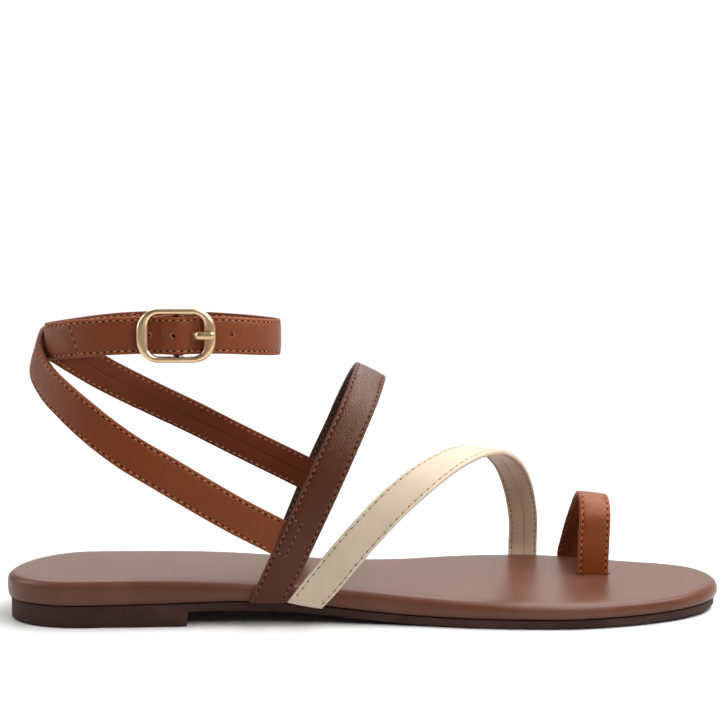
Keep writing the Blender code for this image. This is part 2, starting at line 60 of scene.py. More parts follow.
# Studio: a pale floor, lit to white near the sandal; further out it glows white, a painted glow that no
# lamp gives. It lies in a dim room whose back and side walls are bright low down, the left one less so.
# Soft lamps hang over the toe, in front, to the left and behind. The backdrop is white, and the camera
# looks at the sandal's outer side.
CAMERA_PLACE = (-0.0345, -0.5292, 0.123)
CAMERA_TURN = (86.0, 0.0, -3.6)
CAMERA_LENS = 74.4
FLOOR_SIZE = 1.4
FLOOR_DROP = 0.0001
FLOOR_TONES = ((0.63, 0.63, 0.63, 1.0), (0.67, 0.67, 0.67, 1.0))
FLOOR_ROUGHNESS = 0.9
FLOOR_SHINE = 0.1
GLOW_REACH = (0.32, 0.6)
BACK_WALL = (-0.5, 0.1)
WALL_TOP = (0.7, 0.2)
LEFT_WALL = (-0.2, -0.7)
ROOM_BRIGHT = 1.05
ROOM_DIM = 0.12
LEFT_SHADE = 0.6
ROOM_WHITE = (1.0, 0.965, 0.91, 1.0)
WHITE = (1.0, 1.0, 1.0, 1.0)
BLACK = (0.0, 0.0, 0.0, 1.0)

# Each noise, here and below: its scale per metre and its detail.
FLOOR_SPECKLE = (400.0, 3.0)

# Each lamp: its place, the place it is aimed at, its size and its power.
LAMPS = {
    "top_lamp": ((0.26, -0.06, 0.46), (0.06, 0.0, 0.04), 0.45, 5.2),
    "front_lamp": ((0.22, -0.52, 0.47), (0.04, 0.0, 0.05), 0.25, 2.5),
    "left_lamp": ((-0.6, 0.0, 0.32), (-0.08, 0.0, 0.06), 0.4, 2.2),
    "back_lamp": ((0.0, 1.35, 1.2), (0.0, 1.35, 0.0), 1.7, 30.0),
}


class Wire:
    """One output of a node tree; an expression on it adds the Math nodes that it needs."""

    def __init__(self, tree, socket=None):
        self.tree = tree
        self.socket = socket

    def node(self, kind, settings, inputs, output=0):
        """Add a node: its settings first, then the values or links of its sockets."""
        added = self.tree.nodes.new(kind)
        for name, value in settings.items():
            setattr(added, name, value)
        for name, value in inputs.items():
            links = value if isinstance(value, list) else [value]
            for link in links:
                if isinstance(link, Wire):
                    self.tree.links.new(link.socket, added.inputs[name])
                else:
                    added.inputs[name].default_value = link
        return Wire(self.tree, added.outputs[output])

    def math(self, operation, first, second):
        return self.node("ShaderNodeMath", {"operation": operation}, {0: first, 1: second})

    def __add__(self, other):
        return self.math("ADD", self, other)

    def __radd__(self, other):
        return self.math("ADD", other, self)

    def __sub__(self, other):
        return self.math("SUBTRACT", self, other)

    def __rsub__(self, other):
        return self.math("SUBTRACT", other, self)

    def __mul__(self, other):
        return self.math("MULTIPLY", self, other)

    def __rmul__(self, other):
        return self.math("MULTIPLY", other, self)

    def step(self, low, high):
        """Soft step from 0 at one value to 1 at another."""
        return self.node(
            "ShaderNodeMapRange",
            {"interpolation_type": "SMOOTHSTEP"},
            {"Value": self, "From Min": low, "From Max": high},
        )

    def mix(self, first, second):
        """Colour between two colours, by this value."""
        return self.node("ShaderNodeMix", {"data_type": "RGBA"}, {0: self, 6: first, 7: second}, 2)

    def noise(self, scale, detail, output=0):
        """Noise over these coordinates."""
        given = {"Vector": self, "Scale": scale, "Detail": detail}
        return self.node("ShaderNodeTexNoise", {}, given, output)

    def bump(self, strength, distance):
        """Normal of a surface that has this relief."""
        given = {"Strength": strength, "Distance": distance, "Height": self}
        return self.node("ShaderNodeBump", {}, given)


def colour(red, green, blue):
    """Shader colour of an eight-bit screen colour."""
    shares = np.array((red, green, blue)) / 255.0
    linear = np.where(shares <= 0.04045, shares / 12.92, ((shares + 0.055) / 1.055) ** 2.4)
    return (*linear.tolist(), 1.0)


def new_material(name):
    """Material with a bare Principled shader, and the object coordinates to build on."""
    material = bpy.data.materials.new(name)
    material.use_nodes = True
    place = Wire(material.node_tree).node("ShaderNodeTexCoord", {}, {}, "Object")
    return material, place, material.node_tree.nodes["Principled BSDF"]


def feed(shader, **links):
    """Link wires to a shader's sockets, or set their values; names use _ for a space."""
    for name, value in links.items():
        socket = shader.inputs[name.replace("_", " ")]
        if isinstance(value, Wire):
            value.tree.links.new(value.socket, socket)
        else:
            socket.default_value = value


scene = bpy.context.scene
scene.view_settings.view_transform = "Standard"
world = bpy.data.worlds.new("white_room")
scene.world = world
world.use_nodes = True
room = Wire(world.node_tree)
looking = room.node("ShaderNodeTexCoord", {}, {}, "Generated")
sideways, backwards, upwards = (
    room.node("ShaderNodeSeparateXYZ", {}, {"Vector": looking}, way) for way in "XYZ"
)
shaded = 1.0 - sideways.step(*LEFT_WALL) * LEFT_SHADE
walls = backwards.step(*BACK_WALL) * upwards.step(*WALL_TOP) * shaded
lit = ROOM_DIM + walls * (ROOM_BRIGHT - ROOM_DIM)
backdrop = room.node("ShaderNodeLightPath", {}, {}, "Is Camera Ray")
feed(
    world.node_tree.nodes["Background"],
    Color=backdrop.mix(ROOM_WHITE, WHITE),
    Strength=lit + backdrop * (ROOM_BRIGHT - lit),
)

card = bmesh.new()
bmesh.ops.create_grid(card, x_segments=2, y_segments=2, size=FLOOR_SIZE / 2.0)
bmesh.ops.translate(card, verts=card.verts, vec=(0.0, 0.0, -FLOOR_DROP))
floor_mesh = bpy.data.meshes.new("floor")
card.to_mesh(floor_mesh)
card.free()
floor = bpy.data.objects.new("floor", floor_mesh)
scene.collection.objects.link(floor)
glowing_pale_card, place, shader = new_material("glowing_pale_card")
away = place.node("ShaderNodeVectorMath", {"operation": "LENGTH"}, {0: place}, "Value")
feed(
    shader,
    Base_Color=place.noise(*FLOOR_SPECKLE).mix(*FLOOR_TONES),
    Roughness=FLOOR_ROUGHNESS,
    Specular_IOR_Level=FLOOR_SHINE,
    # Past GLOW_REACH the floor glows white: painted light, from no lamp, that keeps the far floor white.
    Emission_Color=away.step(*GLOW_REACH).mix(BLACK, WHITE),
    Emission_Strength=1.0,
)
floor_mesh.materials.append(glowing_pale_card)

for name, (lamp_place, aim, size, watts) in LAMPS.items():
    light = bpy.data.lights.new(name, "AREA")
    light.size = size
    light.energy = watts
    lamp = bpy.data.objects.new(name, light)
    lamp.location = lamp_place
    lamp.rotation_euler = (Vector(aim) - Vector(lamp_place)).to_track_quat("-Z", "Y").to_euler()
    lamp.visible_camera = False
    scene.collection.objects.link(lamp)

camera_data = bpy.data.cameras.new("camera")
camera_data.lens = CAMERA_LENS
camera = bpy.data.objects.new("camera", camera_data)
camera.location = CAMERA_PLACE
camera.rotation_euler = [math.radians(turn) for turn in CAMERA_TURN]
scene.collection.objects.link(camera)
scene.camera = camera

# Outsole: one moulded rubber unit in dark brown, with a low heel block, a raised waist and a little toe
# spring. It is cemented under the footbed, and its wall stands back from the footbed all round.
MM = 0.001
WELD = 0.000001
SHARP_ANGLE = math.radians(50.0)
CENTRE_LINE = -0.00527
LENGTH = 249.0
HEEL_ROUND = 27.0
HEEL_SQUARENESS = 2.0
TOE_ROUND = 60.0
TOE_SQUARENESS = 2.3
OUTSOLE_THICKNESS = 3.2
OUTSOLE_INSET = 1.2
HEEL_BREAST = 62.5
BREAST_SLOPE = 0.8
SEAM_GAP = 0.1
RUBBER = colour(46, 28, 23)
RUBBER_SCUFFED = colour(64, 43, 37)
RUBBER_SHINE = 0.12
RUBBER_ROUGHNESS = 0.5
RUBBER_UNEVEN = 0.2
RUBBER_CLOUD = (60.0, 6.0)
RUBBER_SCUFFS = (0.35, 0.75)
RUBBER_SKIN = (2200.0, 2.0)
RUBBER_SKIN_SHARE = 0.25
RUBBER_BUMP = (0.5, 0.0004)
TREAD_RIBS = 330.0
TREAD_RIB_EDGE = (0.35, 0.65)
TREAD_FACING = (-0.8, -0.95)
POINTS_ACROSS = 17
END_STATIONS = 30
WAIST_STATIONS = 82
BREAST_STATIONS = 7

# Columns: how far in past the outsole's wall, and how far over the tread or under the seam.
OUTSOLE_FOOT = ((1.3, 0.0), (0.55, 0.12), (0.15, 0.45), (0.0, 1.0))
OUTSOLE_LIP = ((0.0, 0.5), (0.08, 0.25), (0.3, SEAM_GAP))

# Columns: along, middle line, outer edge, inner edge, underside of the thin sole, top of the footbed.
SOLE = np.array([
    (0.0, -6.0, -28.0, 28.0, 4.2, 16.0),
    (30.0, -3.0, -28.2, 27.6, 4.3, 16.0),
    (60.0, 0.0, -28.2, 27.6, 4.7, 15.7),
    (75.0, 0.0, -28.0, 27.6, 5.0, 15.1),
    (90.0, 0.0, -27.8, 27.2, 4.6, 14.1),
    (105.0, 0.0, -28.0, 27.0, 3.4, 12.9),
    (122.0, 0.0, -29.4, 29.0, 1.5, 11.6),
    (140.0, 0.0, -32.6, 35.8, 0.3, 10.2),
    (158.0, 0.0, -36.8, 44.0, 0.0, 9.3),
    (175.0, 0.0, -39.4, 48.0, 0.0, 8.8),
    (190.0, 0.0, -40.3, 48.2, 0.0, 8.6),
    (205.0, 0.0, -39.2, 45.0, 0.1, 8.5),
    (225.0, 0.0, -37.6, 38.8, 0.4, 8.7),
    (249.0, 0.0, -37.0, 36.8, 1.3, 10.0),
])
MIDDLE, OUTER, INNER, UNDER, TOP = range(1, 6)


def smooth(keys, values, at):
    """Values at places on a cubic curve through the keyed values."""
    slopes = np.gradient(values, keys)
    first = np.clip(np.searchsorted(keys, at) - 1, 0, len(keys) - 2)
    span = keys[first + 1] - keys[first]
    t = (at - keys[first]) / span
    rise = (values[first + 1] - values[first]) * (3.0 - 2.0 * t) * t * t
    ease_out = slopes[first] * t * (1.0 - t) ** 2
    ease_in = slopes[first + 1] * t * t * (1.0 - t)
    return values[first] + rise + span * (ease_out - ease_in)


def sole_line(column, along):
    return smooth(SOLE[:, 0], SOLE[:, column], along)


def rounded_end(past, squareness):
    """Share of the full width that is left in a rounded end, from its start at 0 to its tip at 1."""
    return np.maximum(0.0, 1.0 - np.maximum(0.0, past) ** squareness) ** (1.0 / squareness)


def sole_across(along, part, inset):
    """Place across the sole, from -1 at its outer edge to 1 at its inner edge."""
    middle = sole_line(MIDDLE, along)
    edge = sole_line(INNER, along) - inset if part > 0.0 else sole_line(OUTER, along) + inset
    heel = rounded_end((HEEL_ROUND - along) / (HEEL_ROUND - inset), HEEL_SQUARENESS)
    toe = rounded_end((along - LENGTH + TOE_ROUND) / (TOE_ROUND - inset), TOE_SQUARENESS)
    return middle + abs(part) * (edge - middle) * np.minimum(heel, toe)


def drawn_in(along, inset):
    """Places along the sole after its rounded heel and toe are drawn in by an inset."""
    past_heel = np.maximum(0.0, HEEL_ROUND - along) / HEEL_ROUND
    past_toe = np.maximum(0.0, along - LENGTH + TOE_ROUND) / TOE_ROUND
    return along + inset * (past_heel - past_toe)


def seam(along):
    """Height of the joint between outsole and footbed."""
    return np.maximum(0.0, sole_line(UNDER, along)) + OUTSOLE_THICKNESS


def tread(along):
    """Height of the outsole's lowest face: the heel block stands on the floor."""
    past = np.clip((along - HEEL_BREAST) / BREAST_SLOPE + 0.5, 0.0, 1.0)
    return np.maximum(0.0, sole_line(UNDER, along)) * past * past * (3.0 - 2.0 * past)


def metres(points):
    """Model places of points that are given along, across and up in millimetres."""
    return np.asarray(points, float) * MM + (cad_box[0].x, CENTRE_LINE, 0.0)


def skin(name, rings, marks=None):
    """Smooth closed mesh over rings of points, with a value of each mark at each point."""
    count, around = rings.shape[:2]
    here = np.arange(count * around).reshape(count, around)
    beside = np.roll(here, -1, axis=1)
    quads = np.stack((here[:-1], beside[:-1], beside[1:], here[1:]), axis=-1).reshape(-1, 4)
    mesh = bpy.data.meshes.new(name)
    mesh.from_pydata(metres(rings.reshape(-1, 3)).tolist(), [], quads.tolist())
    for mark, values in (marks or {}).items():
        mesh.attributes.new(mark, "FLOAT", "POINT").data.foreach_set("value", values.ravel())
    shell = bmesh.new()
    shell.from_mesh(mesh)
    bmesh.ops.remove_doubles(shell, verts=shell.verts, dist=WELD)
    bmesh.ops.dissolve_degenerate(shell, edges=shell.edges, dist=WELD)
    bmesh.ops.holes_fill(shell, edges=[edge for edge in shell.edges if edge.is_boundary])
    bmesh.ops.recalc_face_normals(shell, faces=shell.faces)
    shell.to_mesh(mesh)
    shell.free()
    mesh.shade_smooth()
    mesh.set_sharp_from_angle(angle=SHARP_ANGLE)
    return mesh


def sole_shell(name, stations, levels):
    """Shell lofted from heel to toe through lines round the sole, each an inset and a height."""
    parts = np.linspace(-1.0, 1.0, POINTS_ACROSS)
    last = len(levels) - 1
    ring = [(0, part) for part in parts]
    ring += [(level, 1.0) for level in range(1, last)]
    ring += [(last, -part) for part in parts]
    ring += [(level, -1.0) for level in range(last - 1, 0, -1)]
    columns = []
    for level, part in ring:
        inset, height = levels[level]
        along = drawn_in(stations, inset)
        columns.append(np.stack((along, sole_across(along, part, inset), height(along)), axis=1))
    return skin(name, np.stack(columns, axis=1))


def outsole_level(inset, base, rise):
    """One line round the outsole: its inset, and its height at each place along."""
    return OUTSOLE_INSET + inset, lambda along: base(along) + rise


def add_piece(name, mesh, slot, *nodes, material=None):
    """Object of a finished mesh, on the sandal's one body, in place of the nodes named."""
    if material:
        mesh.materials.append(material)
    item = bpy.data.objects.new(name, mesh)
    scene.collection.objects.link(item)
    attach(item, "root")
    if nodes:
        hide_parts(*nodes)
    return item


turn = np.linspace(0.0, math.pi / 2.0, END_STATIONS)
heel_stations = HEEL_ROUND * (1.0 - np.cos(turn))
toe_stations = LENGTH - TOE_ROUND * (1.0 - np.sin(turn))
waist_stations = np.linspace(HEEL_ROUND, LENGTH - TOE_ROUND, WAIST_STATIONS)[1:-1]
stations = np.concatenate((heel_stations, waist_stations, toe_stations))
breast_stations = HEEL_BREAST + BREAST_SLOPE * np.linspace(-0.5, 0.5, BREAST_STATIONS)
outsole_stations = np.unique(np.concatenate((stations, breast_stations)))
outsole_levels = [outsole_level(inset, tread, rise) for inset, rise in OUTSOLE_FOOT]
outsole_levels += [outsole_level(inset, seam, -drop) for inset, drop in OUTSOLE_LIP]
moulded_rubber, place, shader = new_material("moulded_rubber")
cloud = place.noise(*RUBBER_CLOUD)
facing = place.node("ShaderNodeNewGeometry", {}, {}, "Normal")
underneath = place.node("ShaderNodeSeparateXYZ", {}, {"Vector": facing}, "Z").step(*TREAD_FACING)
waves = {"Vector": place, "Scale": TREAD_RIBS}
ribs = place.node("ShaderNodeTexWave", {"bands_direction": "DIAGONAL"}, waves)
relief = place.noise(*RUBBER_SKIN) * RUBBER_SKIN_SHARE + underneath * ribs.step(*TREAD_RIB_EDGE)
feed(
    shader,
    Base_Color=cloud.step(*RUBBER_SCUFFS).mix(RUBBER, RUBBER_SCUFFED),
    Roughness=RUBBER_ROUGHNESS + cloud * RUBBER_UNEVEN,
    Specular_IOR_Level=RUBBER_SHINE,
    Normal=relief.bump(*RUBBER_BUMP),
)
add_piece(
    "rubber_outsole",
    sole_shell("rubber_outsole", outsole_stations, outsole_levels),
    "outsole_rubber",
    "outsole",
    material=moulded_rubber,
)

# Footbed: a padded board wrapped in taupe leather. The cover is drawn round the soft edge and tucked in at
# the seam, and a slit near the toe lets the toe loop through.
SLIT_PLACE = (207.1, 8.4)
SLIT_SIZE = (12.0, 2.4, 30.0)
TAUPE = colour(79, 45, 32)
TAUPE_LIGHT = colour(88, 54, 41)
TAUPE_SHINE = 0.2
TAUPE_ROUGHNESS = 0.29
TAUPE_UNEVEN = 0.08
TAUPE_CLOUD = (45.0, 3.0)
TAUPE_LIGHTER = (0.3, 0.75)
TAUPE_PORES = (1500.0, 3.0)
TAUPE_BUMP = (0.03, 0.0002)
EDGE_LINES = 25

# Columns: how far in the edge lies, its share of the way up, and an offset in height.
FOOTBED_EDGE = np.array([
    (2.2, 0.0, SEAM_GAP),
    (0.6, 0.0, 0.5),
    (0.0, 0.35, 0.0),
    (0.1, 1.0, -2.4),
    (0.7, 1.0, -1.0),
    (2.2, 1.0, -0.25),
    (5.0, 1.0, 0.0),
])


def footbed_level(inset, share, offset):
    """One line round the footbed's edge: its inset, and its height at each place along."""

    def height(along):
        low = seam(along)
        return low + share * (sole_line(TOP, along) - low) + offset

    return inset, height


def carve(mesh, tools):
    """Mesh with the shapes of closed tool meshes cut out of it."""
    item = bpy.data.objects.new("carved", mesh)
    scene.collection.objects.link(item)
    cutters = []
    for tool in tools:
        cutter = bpy.data.objects.new("cutter", tool)
        scene.collection.objects.link(cutter)
        cut = item.modifiers.new("cut", "BOOLEAN")
        cut.operation = "DIFFERENCE"
        cut.object = cutter
        cutters.append(cutter)
    whole = item.evaluated_get(bpy.context.evaluated_depsgraph_get())
    carved = bpy.data.meshes.new_from_object(whole)
    for used in (item, *cutters):
        bpy.data.objects.remove(used)
    carved.name = mesh.name
    return carved


def block(name, middle, size):
    """Closed box about a middle point, in millimetres."""
    box = bmesh.new()
    bmesh.ops.create_cube(box, size=1.0)
    turn = Matrix.Translation(metres(middle)) @ Matrix.Diagonal((*(Vector(size) * MM), 1.0))
    bmesh.ops.transform(box, matrix=turn, verts=box.verts)
    mesh = bpy.data.meshes.new(name)
    box.to_mesh(mesh)
    box.free()
    return mesh


rows = np.arange(len(FOOTBED_EDGE), dtype=float)
edge_steps = np.linspace(0.0, rows[-1], EDGE_LINES)
edge_lines = np.stack([smooth(rows, column, edge_steps) for column in FOOTBED_EDGE.T], axis=1)
footbed_mesh = sole_shell("covered_footbed", stations, [footbed_level(*line) for line in edge_lines])
slit = block("slit", (*SLIT_PLACE, SLIT_SIZE[2] / 2.0), SLIT_SIZE)
footbed_leather, place, shader = new_material("footbed_leather")
cloud = place.noise(*TAUPE_CLOUD)
feed(
    shader,
    Base_Color=cloud.step(*TAUPE_LIGHTER).mix(TAUPE, TAUPE_LIGHT),
    Roughness=TAUPE_ROUGHNESS + cloud * TAUPE_UNEVEN,
    Specular_IOR_Level=TAUPE_SHINE,
    Normal=place.noise(*TAUPE_PORES).bump(*TAUPE_BUMP),
)
covered_footbed = add_piece(
    "covered_footbed", carve(footbed_mesh, [slit]), "footbed_leather", "footbed", material=footbed_leather
)

# Heel sling: a tan leather band, folded so that its two edges meet in a butt seam down the inner face and
# sewn along both sides. It runs round behind the heel, and its ends are sewn into the instep strap.
STRAP_STEP = 1.0
STITCH_INSET = 1.15
FOLD_ROUND = 0.75
STITCH_GROOVE = 0.16
GROOVE_WIDTH = 0.45
INNER_GROOVE = 0.5
STRAP_PUFF = 0.14
PUFF_REACH = 2.0
SEAM_GROOVE = 0.22
SEAM_WIDTH = 0.2
LAP_STEP = 0.16
LAP_WIDTH = 0.4
SLING_WIDTH = 12.2
SLING_THICKNESS = 1.8
SEWN_IN = 6.0
STITCH_PITCH = 2.4
THREAD_SHARE = 0.54
BOBBIN_SHARE = 0.64
NEEDLE_SIZE = (1.15, 0.66)
BOBBIN_HOLE_SIZE = (0.5, 0.34)
THREAD_WIDTH = 0.46
STITCH_UNEVEN = (0.88, 1.12)
STITCH_SEED = 7
THREAD_HEIGHT = 0.8
HOLE_HEIGHT = 0.4
BEAD_SEGMENTS = 6
BEAD_RINGS = 4
SEWN_STEP = 0.5
SKIVED_LENGTH = 14.0
SKIVED_SHARE = 0.4
TUCKED_DEPTH = 1.1
STRAP_GLOSS = (1.0, 0.84, 0.66, 1.0)
FOLD_EDGE = (STITCH_INSET + 0.3, STITCH_INSET - 0.6)
FOLD_ROUGHNESS = 0.2
LEATHER_CLOUD = (120.0, 6.0)
LEATHER_UNEVEN = 0.16
LEATHER_DARKER = 0.72
WORN_EDGE = (0.4, 0.8)
WORN_SHARE = 0.2
# Share of painted shade in the creases between the raised grain.
CREASE_SHADE = 0.15
GRAIN_WANDER = 250.0
WANDER_DETAIL = 2.0
GRAIN_CELLS = 1000.0
GRAIN_CREASE = (0.0, 0.22)
GRAIN_SHARE = 0.7
GRAIN_FINE = (4000.0, 2.0)
GRAIN_HEIGHT = 0.0002
THREAD_SHINE = 0.05
THREAD_ROUGHNESS = 0.8
# Share of light left in the low parts of the thread's twist: painted shade in its grooves.
THREAD_GROOVE_SHADE = 0.6
THREAD_TWIST = (3500.0, 2.0)
TWIST_EDGE = (0.35, 0.65)
THREAD_BUMP = (0.4, 0.0001)
TAN = colour(97, 44, 19)
TAN_EDGE = colour(112, 54, 26)
TAN_LINING = colour(84, 34, 12)
TAN_THREAD = colour(170, 118, 90)
# Needle holes are dark beads: painted shade for the inside of each hole.
NEEDLE_HOLE_SHADE = colour(28, 12, 8)

# Each leather's finish, here and below: the size and depth of its grain, its roughness and its shine.
TAN_FINISH = (0.6, 0.28, 0.42, 0.24)

# Mesh lines along a strap: insets from its edge, then shares of the way on to its middle.
EDGE_INSETS = np.array((0.0, 0.06, 0.2, 0.42, 0.7, 0.92, 1.15, 1.38, 1.65, 1.95, 2.3))
MIDDLE_SHARES = np.array((0.2, 0.45, 0.7, 0.88, 0.95, 1.0))
STRAP_MARKS = ("from_edge", "inner_face")

# Columns, here and in the next three straps: along, across and up; the way the face looks.
SLING = np.array([
    (95.8, -31.8, 29.2, 0.0, -1.0, 0.05),
    (78.2, -33.0, 38.9, 0.0, -1.0, 0.05),
    (54.8, -32.4, 52.9, 0.0, -1.0, 0.1),
    (43.1, -30.6, 59.8, -0.1, -1.0, 0.1),
    (31.5, -26.8, 68.0, -0.35, -1.0, 0.1),
    (22.8, -21.6, 74.8, -0.7, -0.8, 0.15),
    (15.8, -15.0, 80.8, -0.9, -0.5, 0.2),
    (11.2, -7.5, 86.6, -1.0, -0.25, 0.3),
    (9.8, 0.5, 91.2, -1.0, 0.0, 0.35),
    (10.6, 8.5, 93.4, -1.0, 0.3, 0.3),
    (14.0, 16.0, 92.0, -0.85, 0.6, 0.2),
    (20.2, 22.4, 87.4, -0.6, 0.85, 0.15),
    (28.2, 27.4, 81.8, -0.35, 1.0, 0.1),
    (45.2, 31.4, 72.4, -0.1, 1.0, 0.1),
    (62.7, 32.6, 63.7, 0.0, 1.0, 0.1),
    (80.4, 32.4, 54.6, 0.0, 1.0, 0.1),
    (107.0, 31.4, 41.4, 0.0, 1.0, 0.05),
])


def unit(vectors):
    return vectors / np.linalg.norm(vectors, axis=1, keepdims=True)


def reach_along(points):
    """Distance along a line to each of its points."""
    return np.concatenate(([0.0], np.cumsum(np.linalg.norm(np.diff(points, axis=0), axis=1))))


class Strap:
    """A folded strap: its middle line, the way its face and its edge look, its width and thickness.

    A skived strap is pared thin at both ends and tucked in under what it is sewn to. A strap with a free
    end is folded and sewn across that end too, which is its last.
    """

    def __init__(self, line, facing, width, slant, thickness, skived=False, free_end=False):
        run = unit(np.gradient(line, axis=0))
        self.reach = reach_along(line)
        self.length = self.reach[-1]
        self.face = unit(facing - run * np.sum(facing * run, axis=1, keepdims=True))
        self.edge = np.cross(self.face, run) + slant[:, None] * run
        self.width = width
        self.half = thickness / 2.0
        self.free_end = free_end
        from_end = np.minimum(self.reach, self.length - self.reach)
        pared = 1.0 - np.clip(from_end / SKIVED_LENGTH, 0.0, 1.0) if skived else np.zeros(len(line))
        self.thinning = 1.0 - (1.0 - SKIVED_SHARE) * pared
        self.line = line - self.face * TUCKED_DEPTH * pared[:, None]

    @classmethod
    def through(cls, rows, width, thickness, ends=None, skived=False):
        """Strap through the rows of its table, at even steps; its ends may be cut another way."""
        keys = reach_along(rows[:, :3])
        at = np.linspace(0.0, keys[-1], round(keys[-1] / STRAP_STEP) + 1)
        cuts = np.full((len(rows), 2), (width, 0.0))
        if ends:
            cuts[[0, -1]] = ends
        values = np.stack([smooth(keys, column, at) for column in (*rows.T, cuts[:, 0])], axis=1)
        slant = np.interp(at, keys, cuts[:, 1])
        return cls(values[:, :3], values[:, 3:6], values[:, 6], slant, thickness, skived)

    def from_edge(self, reach, across):
        """Distance of places on the strap from its nearest edge."""
        inset = np.interp(reach, self.reach, self.width) / 2.0 - np.abs(across)
        return np.minimum(inset, self.length - reach) if self.free_end else inset

    def points(self, reach, across, inner):
        """Points on the outer or the inner face, and the way that the face looks there."""
        inset = np.maximum(0.0, self.from_edge(reach, across))
        corner = np.clip(1.0 - inset / FOLD_ROUND, 0.0, 1.0)
        height = self.half - FOLD_ROUND * (1.0 - np.sqrt(1.0 - corner**2))
        groove = STITCH_GROOVE * np.exp(-(((inset - STITCH_INSET) / GROOVE_WIDTH) ** 2))
        past_stitches = np.clip((inset - STITCH_INSET) / PUFF_REACH, 0.0, 1.0)
        if inner:
            parting = SEAM_GROOVE * np.exp(-((across / SEAM_WIDTH) ** 2))
            lap = LAP_STEP * np.clip(0.5 - across / LAP_WIDTH, 0.0, 1.0)
            height = parting + INNER_GROOVE * groove - height - lap * past_stitches
        else:
            height = height - groove + STRAP_PUFF * past_stitches
        height = height * np.interp(reach, self.reach, self.thinning)
        line, edge, face = (
            np.stack([np.interp(reach, self.reach, column) for column in way.T], axis=1)
            for way in (self.line, self.edge, self.face)
        )
        place = line + edge * across[:, None] + face * height[:, None]
        return place, -face if inner else face

    def mesh(self, name):
        """Closed mesh of the strap, marked with its distance from the edge and its inner face."""
        ring = [np.full(len(self.width), inset) for inset in EDGE_INSETS]
        last = EDGE_INSETS[-1]
        ring += [last + (self.width / 2.0 - last) * share for share in MIDDLE_SHARES]
        turns = [(inset, -1.0, False) for inset in ring]
        turns += [(inset, 1.0, False) for inset in ring[-2::-1]]
        turns += [(inset, 1.0, True) for inset in ring[1:]]
        turns += [(inset, -1.0, True) for inset in ring[-2:0:-1]]
        columns, from_edge, inner_face = [], [], []
        for inset, side, inner in turns:
            across = side * (self.width / 2.0 - inset)
            columns.append(self.points(self.reach, across, inner)[0])
            from_edge.append(self.from_edge(self.reach, across))
            inner_face.append(np.full(len(across), float(inner)))
        stacked = [np.stack(values, axis=1) for values in (from_edge, inner_face)]
        return skin(name, np.stack(columns, axis=1), dict(zip(STRAP_MARKS, stacked)))

    def sewn_rows(self, start, stop, inner):
        """Stitch rows down both edges of one face, between two distances along the strap."""
        reach = self.reach[(self.reach >= start) & (self.reach <= stop)]
        inset = np.interp(reach, self.reach, self.width) / 2.0 - STITCH_INSET
        return [self.points(reach, side * inset, inner) for side in (-1.0, 1.0)]

    def sewn_line(self, corners, inner):
        """Stitch row through corners, each a distance along the strap and a place across it."""
        corners = np.array(corners)
        keys = reach_along(corners)
        at = np.linspace(0.0, keys[-1], round(keys[-1] / SEWN_STEP) + 1)
        return self.points(np.interp(at, keys, corners[:, 0]), np.interp(at, keys, corners[:, 1]), inner)


def grain(place, size, depth):
    """Pebbled leather grain of a size in millimetres: its raised part, and the normal that it gives."""
    wander = place.noise(GRAIN_WANDER / size, WANDER_DETAIL, 1)
    bent = place.node(
        "ShaderNodeVectorMath", {"operation": "MULTIPLY_ADD"}, {0: wander, 1: (size * MM,) * 3, 2: place}
    )
    sizes = {"Vector": bent, "Scale": GRAIN_CELLS / size}
    cells = place.node("ShaderNodeTexVoronoi", {"feature": "DISTANCE_TO_EDGE"}, sizes)
    raised = cells.step(*GRAIN_CREASE)
    relief = raised * GRAIN_SHARE + place.noise(*GRAIN_FINE) * (1.0 - GRAIN_SHARE)
    return raised, relief.bump(depth, GRAIN_HEIGHT)


def darkened(tone, share):
    """Shader colour with a share of its light left."""
    return tuple(share * channel for channel in tone[:3]) + (1.0,)


def strap_leather(name, face, edge, lining, grain_size, grain_depth, roughness, shine):
    """Finish of a folded strap: the face's colour, the fold's along both edges, and the inner face's."""
    material, place, shader = new_material(name)
    raised, bump = grain(place, grain_size, grain_depth)
    cloud = place.noise(*LEATHER_CLOUD)
    from_edge, inner_face = (
        place.node("ShaderNodeAttribute", {"attribute_name": mark}, {}, "Fac") for mark in STRAP_MARKS
    )
    fold = from_edge.step(*FOLD_EDGE)
    tone = inner_face.mix(fold.mix(face, edge), lining)
    darker = darkened(face, LEATHER_DARKER)
    worn = (WORN_SHARE * cloud.step(*WORN_EDGE)).mix(tone, darker)
    uneven = cloud * LEATHER_UNEVEN + fold * FOLD_ROUGHNESS - LEATHER_UNEVEN / 2.0
    feed(
        shader,
        # The creases between the raised grain are darkened: painted shade. The random worn patches are
        # darker too.
        Base_Color=(CREASE_SHADE - raised * CREASE_SHADE).mix(worn, darker),
        Roughness=roughness + uneven,
        Specular_IOR_Level=shine,
        Specular_Tint=STRAP_GLOSS,
        Normal=bump,
    )
    return material


def thread_material(name, tone):
    """Twisted sewing thread."""
    material, place, shader = new_material(name)
    twist = place.noise(*THREAD_TWIST)
    feed(
        shader,
        # The thread is darker where its twist's relief is low: painted shade in the twist's grooves.
        Base_Color=twist.step(*TWIST_EDGE).mix(darkened(tone, THREAD_GROOVE_SHADE), tone),
        Roughness=THREAD_ROUGHNESS,
        Specular_IOR_Level=THREAD_SHINE,
        Normal=twist.bump(*THREAD_BUMP),
    )
    return material


